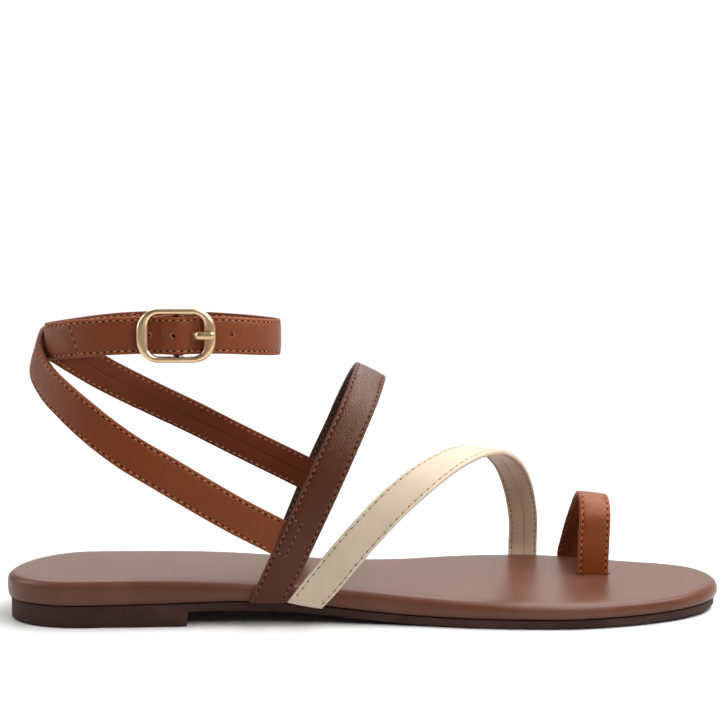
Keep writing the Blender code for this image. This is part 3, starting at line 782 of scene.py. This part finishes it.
def stitch_tree():
    """Geometry nodes laying thread and hole beads by turns along sewn rows; dark beads are painted shade.
    """
    tree = bpy.data.node_groups.new("sewn_rows", "GeometryNodeTree")
    tree.interface.new_socket("Rows", in_out="INPUT", socket_type="NodeSocketGeometry")
    for name in ("Pitch", "Thread Length", "Thread Width", "Hole Length", "Hole Width"):
        tree.interface.new_socket(name, in_out="INPUT", socket_type="NodeSocketFloat")
    for name in ("Thread", "Needle Hole"):
        tree.interface.new_socket(name, in_out="INPUT", socket_type="NodeSocketMaterial")
    tree.interface.new_socket("Stitches", in_out="OUTPUT", socket_type="NodeSocketGeometry")
    start = tree.nodes.new("NodeGroupInput")
    given = {socket.name: Wire(tree, socket) for socket in start.outputs if socket.name}
    at = Wire(tree)
    rows = at.node("GeometryNodeMeshToCurve", {}, {"Mesh": given["Rows"]})
    places = at.node(
        "GeometryNodeResampleCurve", {"mode": "LENGTH"}, {"Curve": rows, "Length": given["Pitch"] * 0.5}
    )
    run = at.node("GeometryNodeInputTangent", {}, {})
    looks = at.node(
        "GeometryNodeInputNamedAttribute", {"data_type": "FLOAT_VECTOR"}, {"Name": "looks"}, "Attribute"
    )
    lying = at.node("FunctionNodeAlignRotationToVector", {"axis": "X"}, {"Vector": run})
    standing = at.node(
        "FunctionNodeAlignRotationToVector",
        {"axis": "Z", "pivot_axis": "X"},
        {"Rotation": lying, "Vector": looks},
    )
    odd = at.math("MODULO", at.node("GeometryNodeInputIndex", {}, {}), 2.0)
    least, most = STITCH_UNEVEN
    draws = {2: least, 3: most, "Seed": STITCH_SEED}
    uneven = at.node("FunctionNodeRandomValue", {"data_type": "FLOAT"}, draws, 1)
    faces = {"Segments": BEAD_SEGMENTS, "Rings": BEAD_RINGS, "Radius": 0.5}
    bead = at.node("GeometryNodeMeshUVSphere", {}, faces)
    kinds = []
    for name, chosen, height in (("Thread", odd, THREAD_HEIGHT), ("Hole", 1.0 - odd, HOLE_HEIGHT)):
        width = given[f"{name} Width"]
        length = given[f"{name} Length"] * uneven
        size = at.node("ShaderNodeCombineXYZ", {}, {"X": length, "Y": width, "Z": width * height})
        laid = at.node(
            "GeometryNodeInstanceOnPoints",
            {},
            {"Points": places, "Selection": chosen, "Instance": bead, "Rotation": standing, "Scale": size},
        )
        real = at.node("GeometryNodeRealizeInstances", {}, {"Geometry": laid})
        soft = at.node("GeometryNodeSetShadeSmooth", {}, {"Geometry": real})
        finish = given["Thread" if name == "Thread" else "Needle Hole"]
        kinds.append(at.node("GeometryNodeSetMaterial", {}, {"Geometry": soft, "Material": finish}))
    both = at.node("GeometryNodeJoinGeometry", {}, {"Geometry": kinds})
    end = tree.nodes.new("NodeGroupOutput")
    tree.links.new(both.socket, end.inputs["Stitches"])
    return tree


sewing = stitch_tree()
# The needle-hole beads' near-black finish is painted shade.
needle_hole_shade = thread_material("needle_hole_shade", NEEDLE_HOLE_SHADE)


def sewn_mesh(
    name, rows, thread, hole=needle_hole_shade, pitch=STITCH_PITCH, hole_size=NEEDLE_SIZE, share=THREAD_SHARE
):
    """Plain mesh of the stitches along rows of points."""
    points = np.concatenate([line for line, looks in rows])
    looks = np.concatenate([looks for line, looks in rows])
    ends = np.cumsum([len(line) for line, row_looks in rows])
    edges = [(number, number + 1) for number in range(len(points) - 1) if number + 1 not in ends]
    mesh = bpy.data.meshes.new(name)
    mesh.from_pydata(metres(points).tolist(), edges, [])
    mesh.attributes.new("looks", "FLOAT_VECTOR", "POINT").data.foreach_set("vector", looks.ravel())
    item = bpy.data.objects.new(name, mesh)
    scene.collection.objects.link(item)
    sewn = item.modifiers.new("sewn", "NODES")
    sewn.node_group = sewing
    sizes = {
        "Pitch": pitch * MM,
        "Thread Length": pitch * share * MM,
        "Thread Width": THREAD_WIDTH * MM,
        "Hole Length": hole_size[0] * MM,
        "Hole Width": hole_size[1] * MM,
        "Thread": thread,
        "Needle Hole": hole,
    }
    for socket in sewing.interface.items_tree:
        if socket.in_out == "INPUT" and socket.name in sizes:
            sewn[socket.identifier] = sizes[socket.name]
    whole = item.evaluated_get(bpy.context.evaluated_depsgraph_get())
    stitches = bpy.data.meshes.new_from_object(whole)
    bpy.data.objects.remove(item)
    stitches.name = name
    return stitches


def sew_edges(strap, name, slot, thread, start, stop, more=()):
    """Stitches down both edges of a strap: needle thread on its face, bobbin thread inside."""
    outside = [*strap.sewn_rows(start, stop, False), *more]
    add_piece(f"{name}_stitches", sewn_mesh(f"{name}_stitches", outside, thread), slot)
    bobbin = sewn_mesh(
        f"{name}_bobbin_thread",
        strap.sewn_rows(start, stop, True),
        thread,
        hole_size=BOBBIN_HOLE_SIZE,
        share=BOBBIN_SHARE,
    )
    add_piece(f"{name}_bobbin_thread", bobbin, slot)


tan_leather = strap_leather("tan_leather", TAN, TAN_EDGE, TAN_LINING, *TAN_FINISH)
tan_thread = thread_material("tan_thread", TAN_THREAD)
sling = Strap.through(SLING, SLING_WIDTH, SLING_THICKNESS, skived=True)
add_piece("heel_sling", sling.mesh("heel_sling"), "tan_leather", "upper", material=tan_leather)
sew_edges(sling, "sling", "tan_leather", tan_thread, SEWN_IN, sling.length - SEWN_IN)

# Instep strap: dark brown grained leather, folded and sewn like the sling. It rises from the outer side of
# the waist, leans forward over the instep and goes down the inner side, and holds the sling's two ends.
INSTEP_WIDTH = 11.6
INSTEP_THICKNESS = 2.2
BROWN = colour(61, 26, 15)
BROWN_EDGE = colour(74, 36, 24)
BROWN_LINING = colour(42, 24, 19)
BROWN_THREAD = colour(126, 86, 70)
BROWN_FINISH = (0.95, 0.34, 0.36, 0.28)
LASTED_IN = 2.0
BOX_INSET = 4.6
BOX_HOLE_SIZE = (0.8, 0.45)
BOX_OUTER = (17.3, 29.7)
BOX_INNER = (28.8, 41.9)

# Each end of a strap, here and below: its width, and how far it is cut on the slant.
INSTEP_ENDS = ((10.6, -0.47), (10.6, 0.4))

INSTEP = np.array([
    (89.0, -29.4, 8.5, 0.0, -1.0, 0.0),
    (93.4, -30.2, 17.5, 0.0, -1.0, 0.0),
    (100.5, -32.2, 32.5, 0.0, -1.0, 0.1),
    (108.0, -32.2, 48.6, 0.0, -1.0, 0.2),
    (114.3, -29.2, 62.0, 0.1, -1.0, 0.5),
    (119.6, -23.4, 72.8, 0.25, -0.8, 0.8),
    (123.4, -13.6, 80.4, 0.4, -0.4, 0.9),
    (125.4, 0.0, 83.3, 0.45, 0.0, 0.9),
    (123.9, 13.8, 79.6, 0.4, 0.4, 0.9),
    (120.6, 23.6, 71.4, 0.25, 0.8, 0.8),
    (116.2, 29.2, 60.6, 0.1, 1.0, 0.5),
    (110.6, 31.8, 48.0, 0.0, 1.0, 0.2),
    (104.4, 31.4, 33.0, 0.0, 1.0, 0.0),
    (98.0, 29.4, 17.5, 0.0, 1.0, 0.0),
    (94.4, 28.8, 9.0, 0.0, 1.0, 0.0),
])
brown_leather = strap_leather("brown_leather", BROWN, BROWN_EDGE, BROWN_LINING, *BROWN_FINISH)
brown_thread = thread_material("brown_thread", BROWN_THREAD)
instep = Strap.through(INSTEP, INSTEP_WIDTH, INSTEP_THICKNESS, INSTEP_ENDS)
add_piece("instep_strap", instep.mesh("instep_strap"), "instep_leather", "upper", material=brown_leather)
sew_edges(instep, "instep", "instep_leather", brown_thread, LASTED_IN, instep.length - LASTED_IN)
rear = INSTEP_WIDTH / 2.0
box_rows = []
for low, high in (BOX_OUTER, [instep.length - reach for reach in BOX_INNER]):
    outside, inside = rear - STITCH_INSET, rear - BOX_INSET
    box = ((low, outside), (low, inside), (high, inside), (high, outside))
    box_rows += [instep.sewn_line(box, inner) for inner in (False, True)]
box_mesh = sewn_mesh("box_stitches", box_rows, brown_thread, hole_size=BOX_HOLE_SIZE)
add_piece("box_stitches", box_mesh, "instep_leather")

# Forefoot strap: cream leather, folded and sewn, with brown dashes between the pale stitches. It crosses
# the ball on a slant from the outer waist to the inner side, and both ends are lasted under the footbed.
FOREFOOT_WIDTH = 11.2
FOREFOOT_THICKNESS = 2.0
CREAM_PITCH = 2.9
CREAM_DASH_SIZE = (1.3, 0.56)
CREAM = colour(173, 158, 140)
CREAM_EDGE = colour(179, 165, 147)
CREAM_LINING = colour(189, 164, 143)
CREAM_THREAD = colour(182, 160, 132)
CREAM_DASH = colour(112, 72, 46)
CREAM_FINISH = (0.6, 0.15, 0.45, 0.24)
FOREFOOT_ENDS = ((10.4, -0.55), (11.2, 0.0))
FOREFOOT = np.array([
    (101.6, -30.2, 7.6, 0.0, -1.0, 0.0),
    (108.6, -31.4, 16.2, 0.0, -1.0, 0.1),
    (115.3, -33.2, 24.8, 0.0, -1.0, 0.2),
    (122.5, -34.2, 33.2, 0.0, -1.0, 0.3),
    (130.5, -33.6, 41.4, -0.1, -1.0, 0.45),
    (139.6, -30.2, 48.6, -0.1, -0.9, 0.7),
    (149.4, -22.8, 53.8, -0.1, -0.6, 0.9),
    (159.6, -11.5, 56.2, 0.0, -0.3, 1.0),
    (168.6, 2.5, 54.6, 0.05, 0.0, 1.0),
    (176.4, 17.0, 49.0, 0.15, 0.4, 1.0),
    (181.6, 29.0, 41.6, 0.2, 0.8, 0.7),
    (185.4, 38.6, 32.4, 0.1, 1.0, 0.3),
    (187.8, 45.4, 22.0, 0.0, 1.0, 0.05),
    (188.4, 49.7, 11.0, 0.0, 1.0, 0.0),
    (188.4, 49.7, 4.2, 0.0, 1.0, 0.0),
])
cream_leather = strap_leather("cream_leather", CREAM, CREAM_EDGE, CREAM_LINING, *CREAM_FINISH)
cream_thread = thread_material("cream_thread", CREAM_THREAD)
cream_dash = thread_material("cream_dash", CREAM_DASH)
forefoot = Strap.through(FOREFOOT, FOREFOOT_WIDTH, FOREFOOT_THICKNESS, FOREFOOT_ENDS)
forefoot_rows = []
for inner in (False, True):
    forefoot_rows += forefoot.sewn_rows(LASTED_IN, forefoot.length - LASTED_IN, inner)
forefoot_mesh = forefoot.mesh("cream_strap")
add_piece("cream_strap", forefoot_mesh, "cream_leather", "forefoot_strap", material=cream_leather)
add_piece(
    "forefoot_stitches",
    sewn_mesh("forefoot_stitches", forefoot_rows, cream_thread, cream_dash, CREAM_PITCH, CREAM_DASH_SIZE),
    "cream_leather",
)

# Toe loop: tan leather, folded and sewn. It comes up out of the slit in the footbed, bends over the big toe
# and is lasted under the footbed's inner edge.
TOE_LOOP_WIDTH = 11.4
TOE_LOOP_THICKNESS = 1.8
# The toe loop's tan, fold and lining colours are lighter copies of the sling's: painted light for the
# stronger light at the toe.
LIT_TOE_TAN = colour(108, 48, 15)
LIT_TOE_EDGE = colour(124, 58, 24)
LIT_TOE_LINING = colour(108, 54, 30)
TOE_FINISH = (0.8, 0.3, 0.37, 0.32)
TOE_SEWN_FROM = 4.0
TOE_LOOP = np.array([
    (207.1, 8.4, 4.4, 0.0, -1.0, 0.0),
    (207.1, 8.4, 10.5, 0.0, -1.0, 0.0),
    (207.5, 8.4, 22.0, 0.0, -1.0, 0.0),
    (207.9, 9.2, 30.5, 0.0, -1.0, 0.3),
    (208.2, 12.2, 34.6, 0.1, -0.7, 0.7),
    (208.5, 17.2, 36.1, 0.13, 0.1, 1.0),
    (208.9, 24.4, 33.8, 0.13, 0.5, 0.9),
    (209.0, 31.8, 28.6, 0.15, 0.75, 0.75),
    (208.5, 38.6, 21.4, 0.25, 0.9, 0.5),
    (207.5, 43.4, 13.0, 0.38, 1.0, 0.2),
    (206.8, 44.9, 8.6, 0.42, 1.0, 0.0),
    (206.8, 44.9, 4.6, 0.42, 1.0, 0.0),
])
lit_toe_leather = strap_leather("lit_toe_leather", LIT_TOE_TAN, LIT_TOE_EDGE, LIT_TOE_LINING, *TOE_FINISH)
toe_loop = Strap.through(TOE_LOOP, TOE_LOOP_WIDTH, TOE_LOOP_THICKNESS)
add_piece("big_toe_loop", toe_loop.mesh("big_toe_loop"), "tan_leather", "toe_loop", material=lit_toe_leather)
sew_edges(toe_loop, "toe_loop", "tan_leather", tan_thread, TOE_SEWN_FROM, toe_loop.length - LASTED_IN)

# Ankle strap: a tan leather strip, folded round the buckle's bar and sewn. It goes once round the ankle
# inside the sling's top, through the buckle, and back to a free end that is cut on the slant.
ANKLE_THICKNESS = 1.5
ANKLE_WIDTH = 12.4
ANKLE_HEIGHT = 97.6
ANKLE_STEP = 0.8
ANKLE_SEWN_FROM = 16.0
FREE_END_ROW = 18
FREE_END_SLANT = -0.35
HOLE_DIAMETER = 1.4
HOLE_POINTS = 24
HOLE_RIM = 0.2
RIM_FLATNESS = 0.4
RIM_POINTS = 33
RIM_SECTION = 8
HOLES_ALONG = (50.5, 58.9, 77.7)
BUCKLE_ALONG = 59.6
CENTRE_BAR_ACROSS = -25.6
RAW_EDGE = colour(150, 100, 76)
FOLD_RADIUS = 1.8
FOLD_TURN = (-120.0, 90.0)
FOLD_WIDTH = 13.6
FOLD_POINTS = 17
FOLD_SLOT = (6.0, 6.0)
PRONG_SLOT = (64.8, 67.2)
PRONG_SLOT_ACROSS = -28.0
PRONG_SLOT_DEPTH = 5.0
SLOT_HEIGHT = 2.9
TACK_PLACE = (41.0, 24.6)
TACK_ACROSS = (-6.0, -3.4)
TACK_SPREAD = (-0.4, 0.0, 0.4)
TACK_PITCH = 0.9
TACK_HOLE_SIZE = (0.3, 0.3)

# Columns: along, across and up. The first rows are the turn round the ankle, the last the free end.
ANKLE = np.array([
    (51.0, -23.8, 97.6),
    (43.0, -23.6, 97.4),
    (35.0, -22.2, 96.9),
    (27.0, -19.2, 96.1),
    (20.2, -14.2, 95.3),
    (15.2, -7.5, 94.8),
    (13.5, 0.5, 94.6),
    (15.2, 8.5, 94.8),
    (20.2, 15.8, 95.4),
    (28.2, 21.0, 96.4),
    (39.0, 24.4, 97.3),
    (53.0, 25.6, 97.6),
    (67.0, 24.4, 97.3),
    (79.0, 20.4, 96.7),
    (88.0, 13.4, 96.1),
    (93.0, 4.0, 95.8),
    (93.0, -5.0, 95.8),
    (89.0, -14.0, 96.3),
    (82.0, -21.0, 97.0),
    (75.5, -24.8, 97.5),
    (71.0, -26.1, 97.6),
    (66.6, -27.0, 97.6),
    (63.0, -29.0, 97.6),
    (59.6, -29.6, 97.6),
    (56.2, -28.8, 97.6),
    (52.6, -26.8, 97.6),
    (47.5, -26.0, 97.6),
    (41.0, -25.7, 97.4),
    (33.5, -24.0, 96.9),
    (24.4, -19.9, 96.2),
])


def punch(name, middle, radius, length):
    """Closed round punch through a middle point, in millimetres, from the outer to the inner side."""
    turns = np.linspace(0.0, 2.0 * math.pi, HOLE_POINTS, endpoint=False)
    ring = np.stack((radius * np.cos(turns), np.zeros(len(turns)), radius * np.sin(turns)), axis=1)
    ends = np.array(((0.0, -length / 2.0, 0.0), (0.0, length / 2.0, 0.0)))
    return skin(name, ring[None, :, :] + ends[:, None, :] + np.array(middle))


def rim(name, middle, radius, thickness):
    """Thin ring about a middle point, in millimetres, that lies in the strap's outer face."""
    turns = np.linspace(0.0, 2.0 * math.pi, RIM_POINTS)
    way = np.stack((np.cos(turns), np.zeros(len(turns)), np.sin(turns)), axis=1)
    rings = []
    for roll in np.linspace(0.0, 2.0 * math.pi, RIM_SECTION, endpoint=False):
        bulge = np.array((0.0, RIM_FLATNESS * thickness * math.sin(roll), 0.0))
        rings.append(np.array(middle) + way * (radius + thickness * math.cos(roll)) + bulge)
    return skin(name, np.stack(rings, axis=1))


turns = np.radians(np.linspace(*FOLD_TURN, FOLD_POINTS))
fold = np.stack(
    (
        BUCKLE_ALONG + FOLD_RADIUS * np.cos(turns),
        CENTRE_BAR_ACROSS + FOLD_RADIUS * np.sin(turns),
        np.full(len(turns), ANKLE_HEIGHT),
    ),
    axis=1,
)
ankle_keys = reach_along(ANKLE[:, :2])
ankle_at = np.linspace(0.0, ankle_keys[-1], round(ankle_keys[-1] / ANKLE_STEP) + 1)
ankle_at = np.unique(np.concatenate((ankle_at, ankle_keys[-1] - EDGE_INSETS[1:-1])))
ankle_turn = np.stack([smooth(ankle_keys, column, ankle_at) for column in ANKLE.T], axis=1)
ankle_line = np.concatenate((fold, ankle_turn))
ankle_run = np.gradient(ankle_line, axis=0)
ankle_facing = np.stack((-ankle_run[:, 1], ankle_run[:, 0], np.zeros(len(ankle_line))), axis=1)
end_slant = np.interp(ankle_at, ankle_keys[-2:], (0.0, FREE_END_SLANT))
ankle_slant = np.concatenate((np.zeros(len(fold)), end_slant))
ankle_width = np.full(len(ankle_line), ANKLE_WIDTH)
ankle_width[: len(fold)] = FOLD_WIDTH
ankle = Strap(ankle_line, ankle_facing, ankle_width, ankle_slant, ANKLE_THICKNESS, free_end=True)
ankle_tools = [
    block("fold_slot", (BUCKLE_ALONG, CENTRE_BAR_ACROSS, ANKLE_HEIGHT), (*FOLD_SLOT, SLOT_HEIGHT)),
    block(
        "prong_slot",
        (sum(PRONG_SLOT) / 2.0, PRONG_SLOT_ACROSS, ANKLE_HEIGHT),
        (PRONG_SLOT[1] - PRONG_SLOT[0], PRONG_SLOT_DEPTH, SLOT_HEIGHT),
    ),
]
raw_edge = thread_material("raw_edge", RAW_EDGE)
free_end = ANKLE[FREE_END_ROW:]
for along in HOLES_ALONG:
    across = np.interp(along, free_end[::-1, 0], free_end[::-1, 1])
    middle = (along, across, ANKLE_HEIGHT)
    ankle_tools.append(punch("hole", middle, HOLE_DIAMETER / 2.0, 2.0 * ANKLE_THICKNESS))
    face = (along, across - ANKLE_THICKNESS / 2.0 - STRAP_PUFF, ANKLE_HEIGHT)
    rim_mesh = rim("hole_rim", face, HOLE_DIAMETER / 2.0 + HOLE_RIM, HOLE_RIM)
    add_piece(f"hole_rim_{round(along)}", rim_mesh, "tan_leather", material=raw_edge)
ankle_mesh = carve(ankle.mesh("buckled_strap"), ankle_tools)
add_piece("buckled_strap", ankle_mesh, "tan_leather", "ankle_strap", material=tan_leather)
ankle_side = ANKLE_WIDTH / 2.0 - STITCH_INSET
ankle_tip = ankle.length - STITCH_INSET
tip_row = ankle.sewn_line(((ankle_tip, -ankle_side), (ankle_tip, ankle_side)), False)
sew_edges(ankle, "ankle", "tan_leather", tan_thread, ANKLE_SEWN_FROM, ankle_tip, [tip_row])
tack_at = ankle.reach[np.argmin(np.hypot(*(ankle.line[:, :2] - TACK_PLACE).T))]
tack_rows = [
    ankle.sewn_line([(tack_at + aside, across) for across in TACK_ACROSS], True) for aside in TACK_SPREAD
]
tack_mesh = sewn_mesh("bar_tack", tack_rows, tan_thread, tan_thread, TACK_PITCH, TACK_HOLE_SIZE)
add_piece("bar_tack", tack_mesh, "tan_leather")

# Buckle frame: cast metal with a pale gold plating. The front is crowned, with rounded edges outside and
# inside, and the bar that carries the strap is set back on two lugs.
BUCKLE_LENGTH = 26.0
BUCKLE_HEIGHT = 18.0
BUCKLE_CORNER = 7.5
SIDE_BAR = 4.0
LONG_BAR = 2.1
BUCKLE_FACE = -30.2
BUCKLE_THICKNESS = 2.2
CENTRE_BAR_RADIUS = 0.75
LUG_HALF = (1.2, 0.85)
LUG_BEND = 1.5
GOLD = colour(216, 184, 147)
GOLD_DULL = colour(196, 162, 122)
GOLD_CLOUD = (90.0, 2.0)
GOLD_WORN = (0.4, 0.7)
GOLD_ROUGHNESS = 0.28
GOLD_UNEVEN = 0.03
CORNER_POINTS = 19
TUBE_POINTS = 16
LUG_POINTS = 9

# Columns: share of the bar's width from its side, and depth back from the face; first half of the crown,
# then the back.
BUCKLE_CROWN = np.array([
    (0.0, 2.0),
    (0.0, 1.3),
    (0.02, 0.95),
    (0.06, 0.6),
    (0.12, 0.33),
    (0.2, 0.14),
    (0.3, 0.03),
    (0.42, 0.0),
])
BUCKLE_BACK = np.array([(0.92, 2.2), (0.08, 2.2)])


def rounded_rectangle(length, height, radius):
    """Points round a rounded rectangle about the origin."""
    corners = ((1, 1, 0.0), (-1, 1, 0.5), (-1, -1, 1.0), (1, -1, 1.5))
    outline = []
    for along, up, start in corners:
        for turn in np.linspace(start * math.pi, (start + 0.5) * math.pi, CORNER_POINTS):
            x = along * (length / 2.0 - radius) + radius * math.cos(turn)
            z = up * (height / 2.0 - radius) + radius * math.sin(turn)
            outline.append((x, z))
    return np.array(outline)


outer = rounded_rectangle(BUCKLE_LENGTH, BUCKLE_HEIGHT, BUCKLE_CORNER)
inner = rounded_rectangle(
    BUCKLE_LENGTH - 2.0 * SIDE_BAR, BUCKLE_HEIGHT - 2.0 * LONG_BAR, BUCKLE_CORNER - SIDE_BAR
)
other_half = BUCKLE_CROWN[::-1] * (-1.0, 1.0) + (1.0, 0.0)
section = np.concatenate((BUCKLE_CROWN, other_half, BUCKLE_BACK))
shares = section[None, :, :1]
flat = outer[:, None, :] * (1.0 - shares) + inner[:, None, :] * shares
depth = np.broadcast_to(section[None, :, 1], flat.shape[:2])
rings = np.stack((BUCKLE_ALONG + flat[..., 0], BUCKLE_FACE + depth, ANKLE_HEIGHT + flat[..., 1]), axis=2)
buckle_mesh = skin("plated_frame", np.concatenate((rings, rings[:1])))
gold_plate, place, shader = new_material("gold_plate")
cloud = place.noise(*GOLD_CLOUD)
feed(
    shader,
    Base_Color=cloud.step(*GOLD_WORN).mix(GOLD, GOLD_DULL),
    Roughness=GOLD_ROUGHNESS + cloud * GOLD_UNEVEN,
    Metallic=1.0,
)
add_piece("plated_frame", buckle_mesh, "buckle_gold", "buckle_frame", material=gold_plate)


def tube(name, line, side, half_wide, half_thick):
    """Closed tube of oval section along a line; side is the way that its width lies."""
    out = np.cross(unit(np.gradient(line, axis=0)), side)
    rings = []
    for turn in np.linspace(0.0, 2.0 * math.pi, TUBE_POINTS, endpoint=False):
        reach_side = np.array(side) * half_wide[:, None] * math.cos(turn)
        rings.append(line + reach_side + out * half_thick[:, None] * math.sin(turn))
    return skin(name, np.stack(rings, axis=1))


lug_rise = (BUCKLE_HEIGHT - LONG_BAR) / 2.0
bend = np.linspace(0.0, math.pi / 2.0, LUG_POINTS)
lug = np.stack(
    (
        CENTRE_BAR_ACROSS - LUG_BEND * (1.0 - np.sin(bend)),
        ANKLE_HEIGHT - lug_rise + LUG_BEND * (1.0 - np.cos(bend)),
    ),
    axis=1,
)
lug = np.concatenate((((BUCKLE_FACE + BUCKLE_THICKNESS / 2.0, ANKLE_HEIGHT - lug_rise),), lug))
upper_lug = lug[::-1] * (1.0, -1.0) + (0.0, 2.0 * ANKLE_HEIGHT)
bar_line = np.concatenate((lug, upper_lug))
bar_line = np.column_stack((np.full(len(bar_line), BUCKLE_ALONG), bar_line))
onto_bar = np.linspace(0.0, 1.0, len(lug))
onto_bar = np.concatenate((onto_bar, onto_bar[::-1]))
bar_wide = LUG_HALF[0] + onto_bar * (CENTRE_BAR_RADIUS - LUG_HALF[0])
bar_thick = LUG_HALF[1] + onto_bar * (CENTRE_BAR_RADIUS - LUG_HALF[1])
bar_mesh = tube("centre_bar", bar_line, (1.0, 0.0, 0.0), bar_wide, bar_thick)
add_piece("centre_bar", bar_mesh, "buckle_gold", material=gold_plate)

# Buckle prong: gold plated wire, a little flattened. It is hooked round the centre bar, comes out through
# the strap and rests its rounded tip on the frame's front bar.
PRONG_WIDE = 1.35
PRONG_THICK = 0.7
HOOK_RADIUS = 1.75
HOOK_TURN = (60.0, 270.0)
HOOK_POINTS = 22
RUN_POINTS = 30
TIP_SHARE = 0.02
PRONG_CLEAR = 0.3
PRONG_REST = BUCKLE_FACE - PRONG_CLEAR - PRONG_THICK
HOOK_FRONT = CENTRE_BAR_ACROSS - HOOK_RADIUS

# Columns: along, and share of the way out from the hook to the front of the frame.
PRONG_RUN = np.array([
    (62.8, 0.0),
    (64.2, 0.14),
    (65.6, 0.55),
    (67.0, 0.95),
    (68.2, 1.0),
    (72.4, 1.0),
])
turns = np.radians(np.linspace(*HOOK_TURN, HOOK_POINTS))
hook = np.stack(
    (BUCKLE_ALONG + HOOK_RADIUS * np.cos(turns), CENTRE_BAR_ACROSS + HOOK_RADIUS * np.sin(turns)), axis=1
)
out_at = np.linspace(PRONG_RUN[0, 0], PRONG_RUN[-1, 0], RUN_POINTS)
share = smooth(PRONG_RUN[:, 0], PRONG_RUN[:, 1], out_at)
out = np.stack((out_at, HOOK_FRONT + np.clip(share, 0.0, 1.0) * (PRONG_REST - HOOK_FRONT)), axis=1)
flat_line = np.concatenate((hook, out))
prong_line = np.column_stack((flat_line, np.full(len(flat_line), ANKLE_HEIGHT)))
from_tip = reach_along(prong_line)[-1] - reach_along(prong_line)
near_tip = 1.0 - np.clip(from_tip / PRONG_WIDE, 0.0, 1.0)
taper = np.sqrt(np.clip(1.0 - near_tip**2, TIP_SHARE, 1.0))
prong_mesh = tube("plated_prong", prong_line, (0.0, 0.0, 1.0), PRONG_WIDE * taper, PRONG_THICK * taper)
add_piece("plated_prong", prong_mesh, "buckle_gold", "buckle_prong", material=gold_plate)
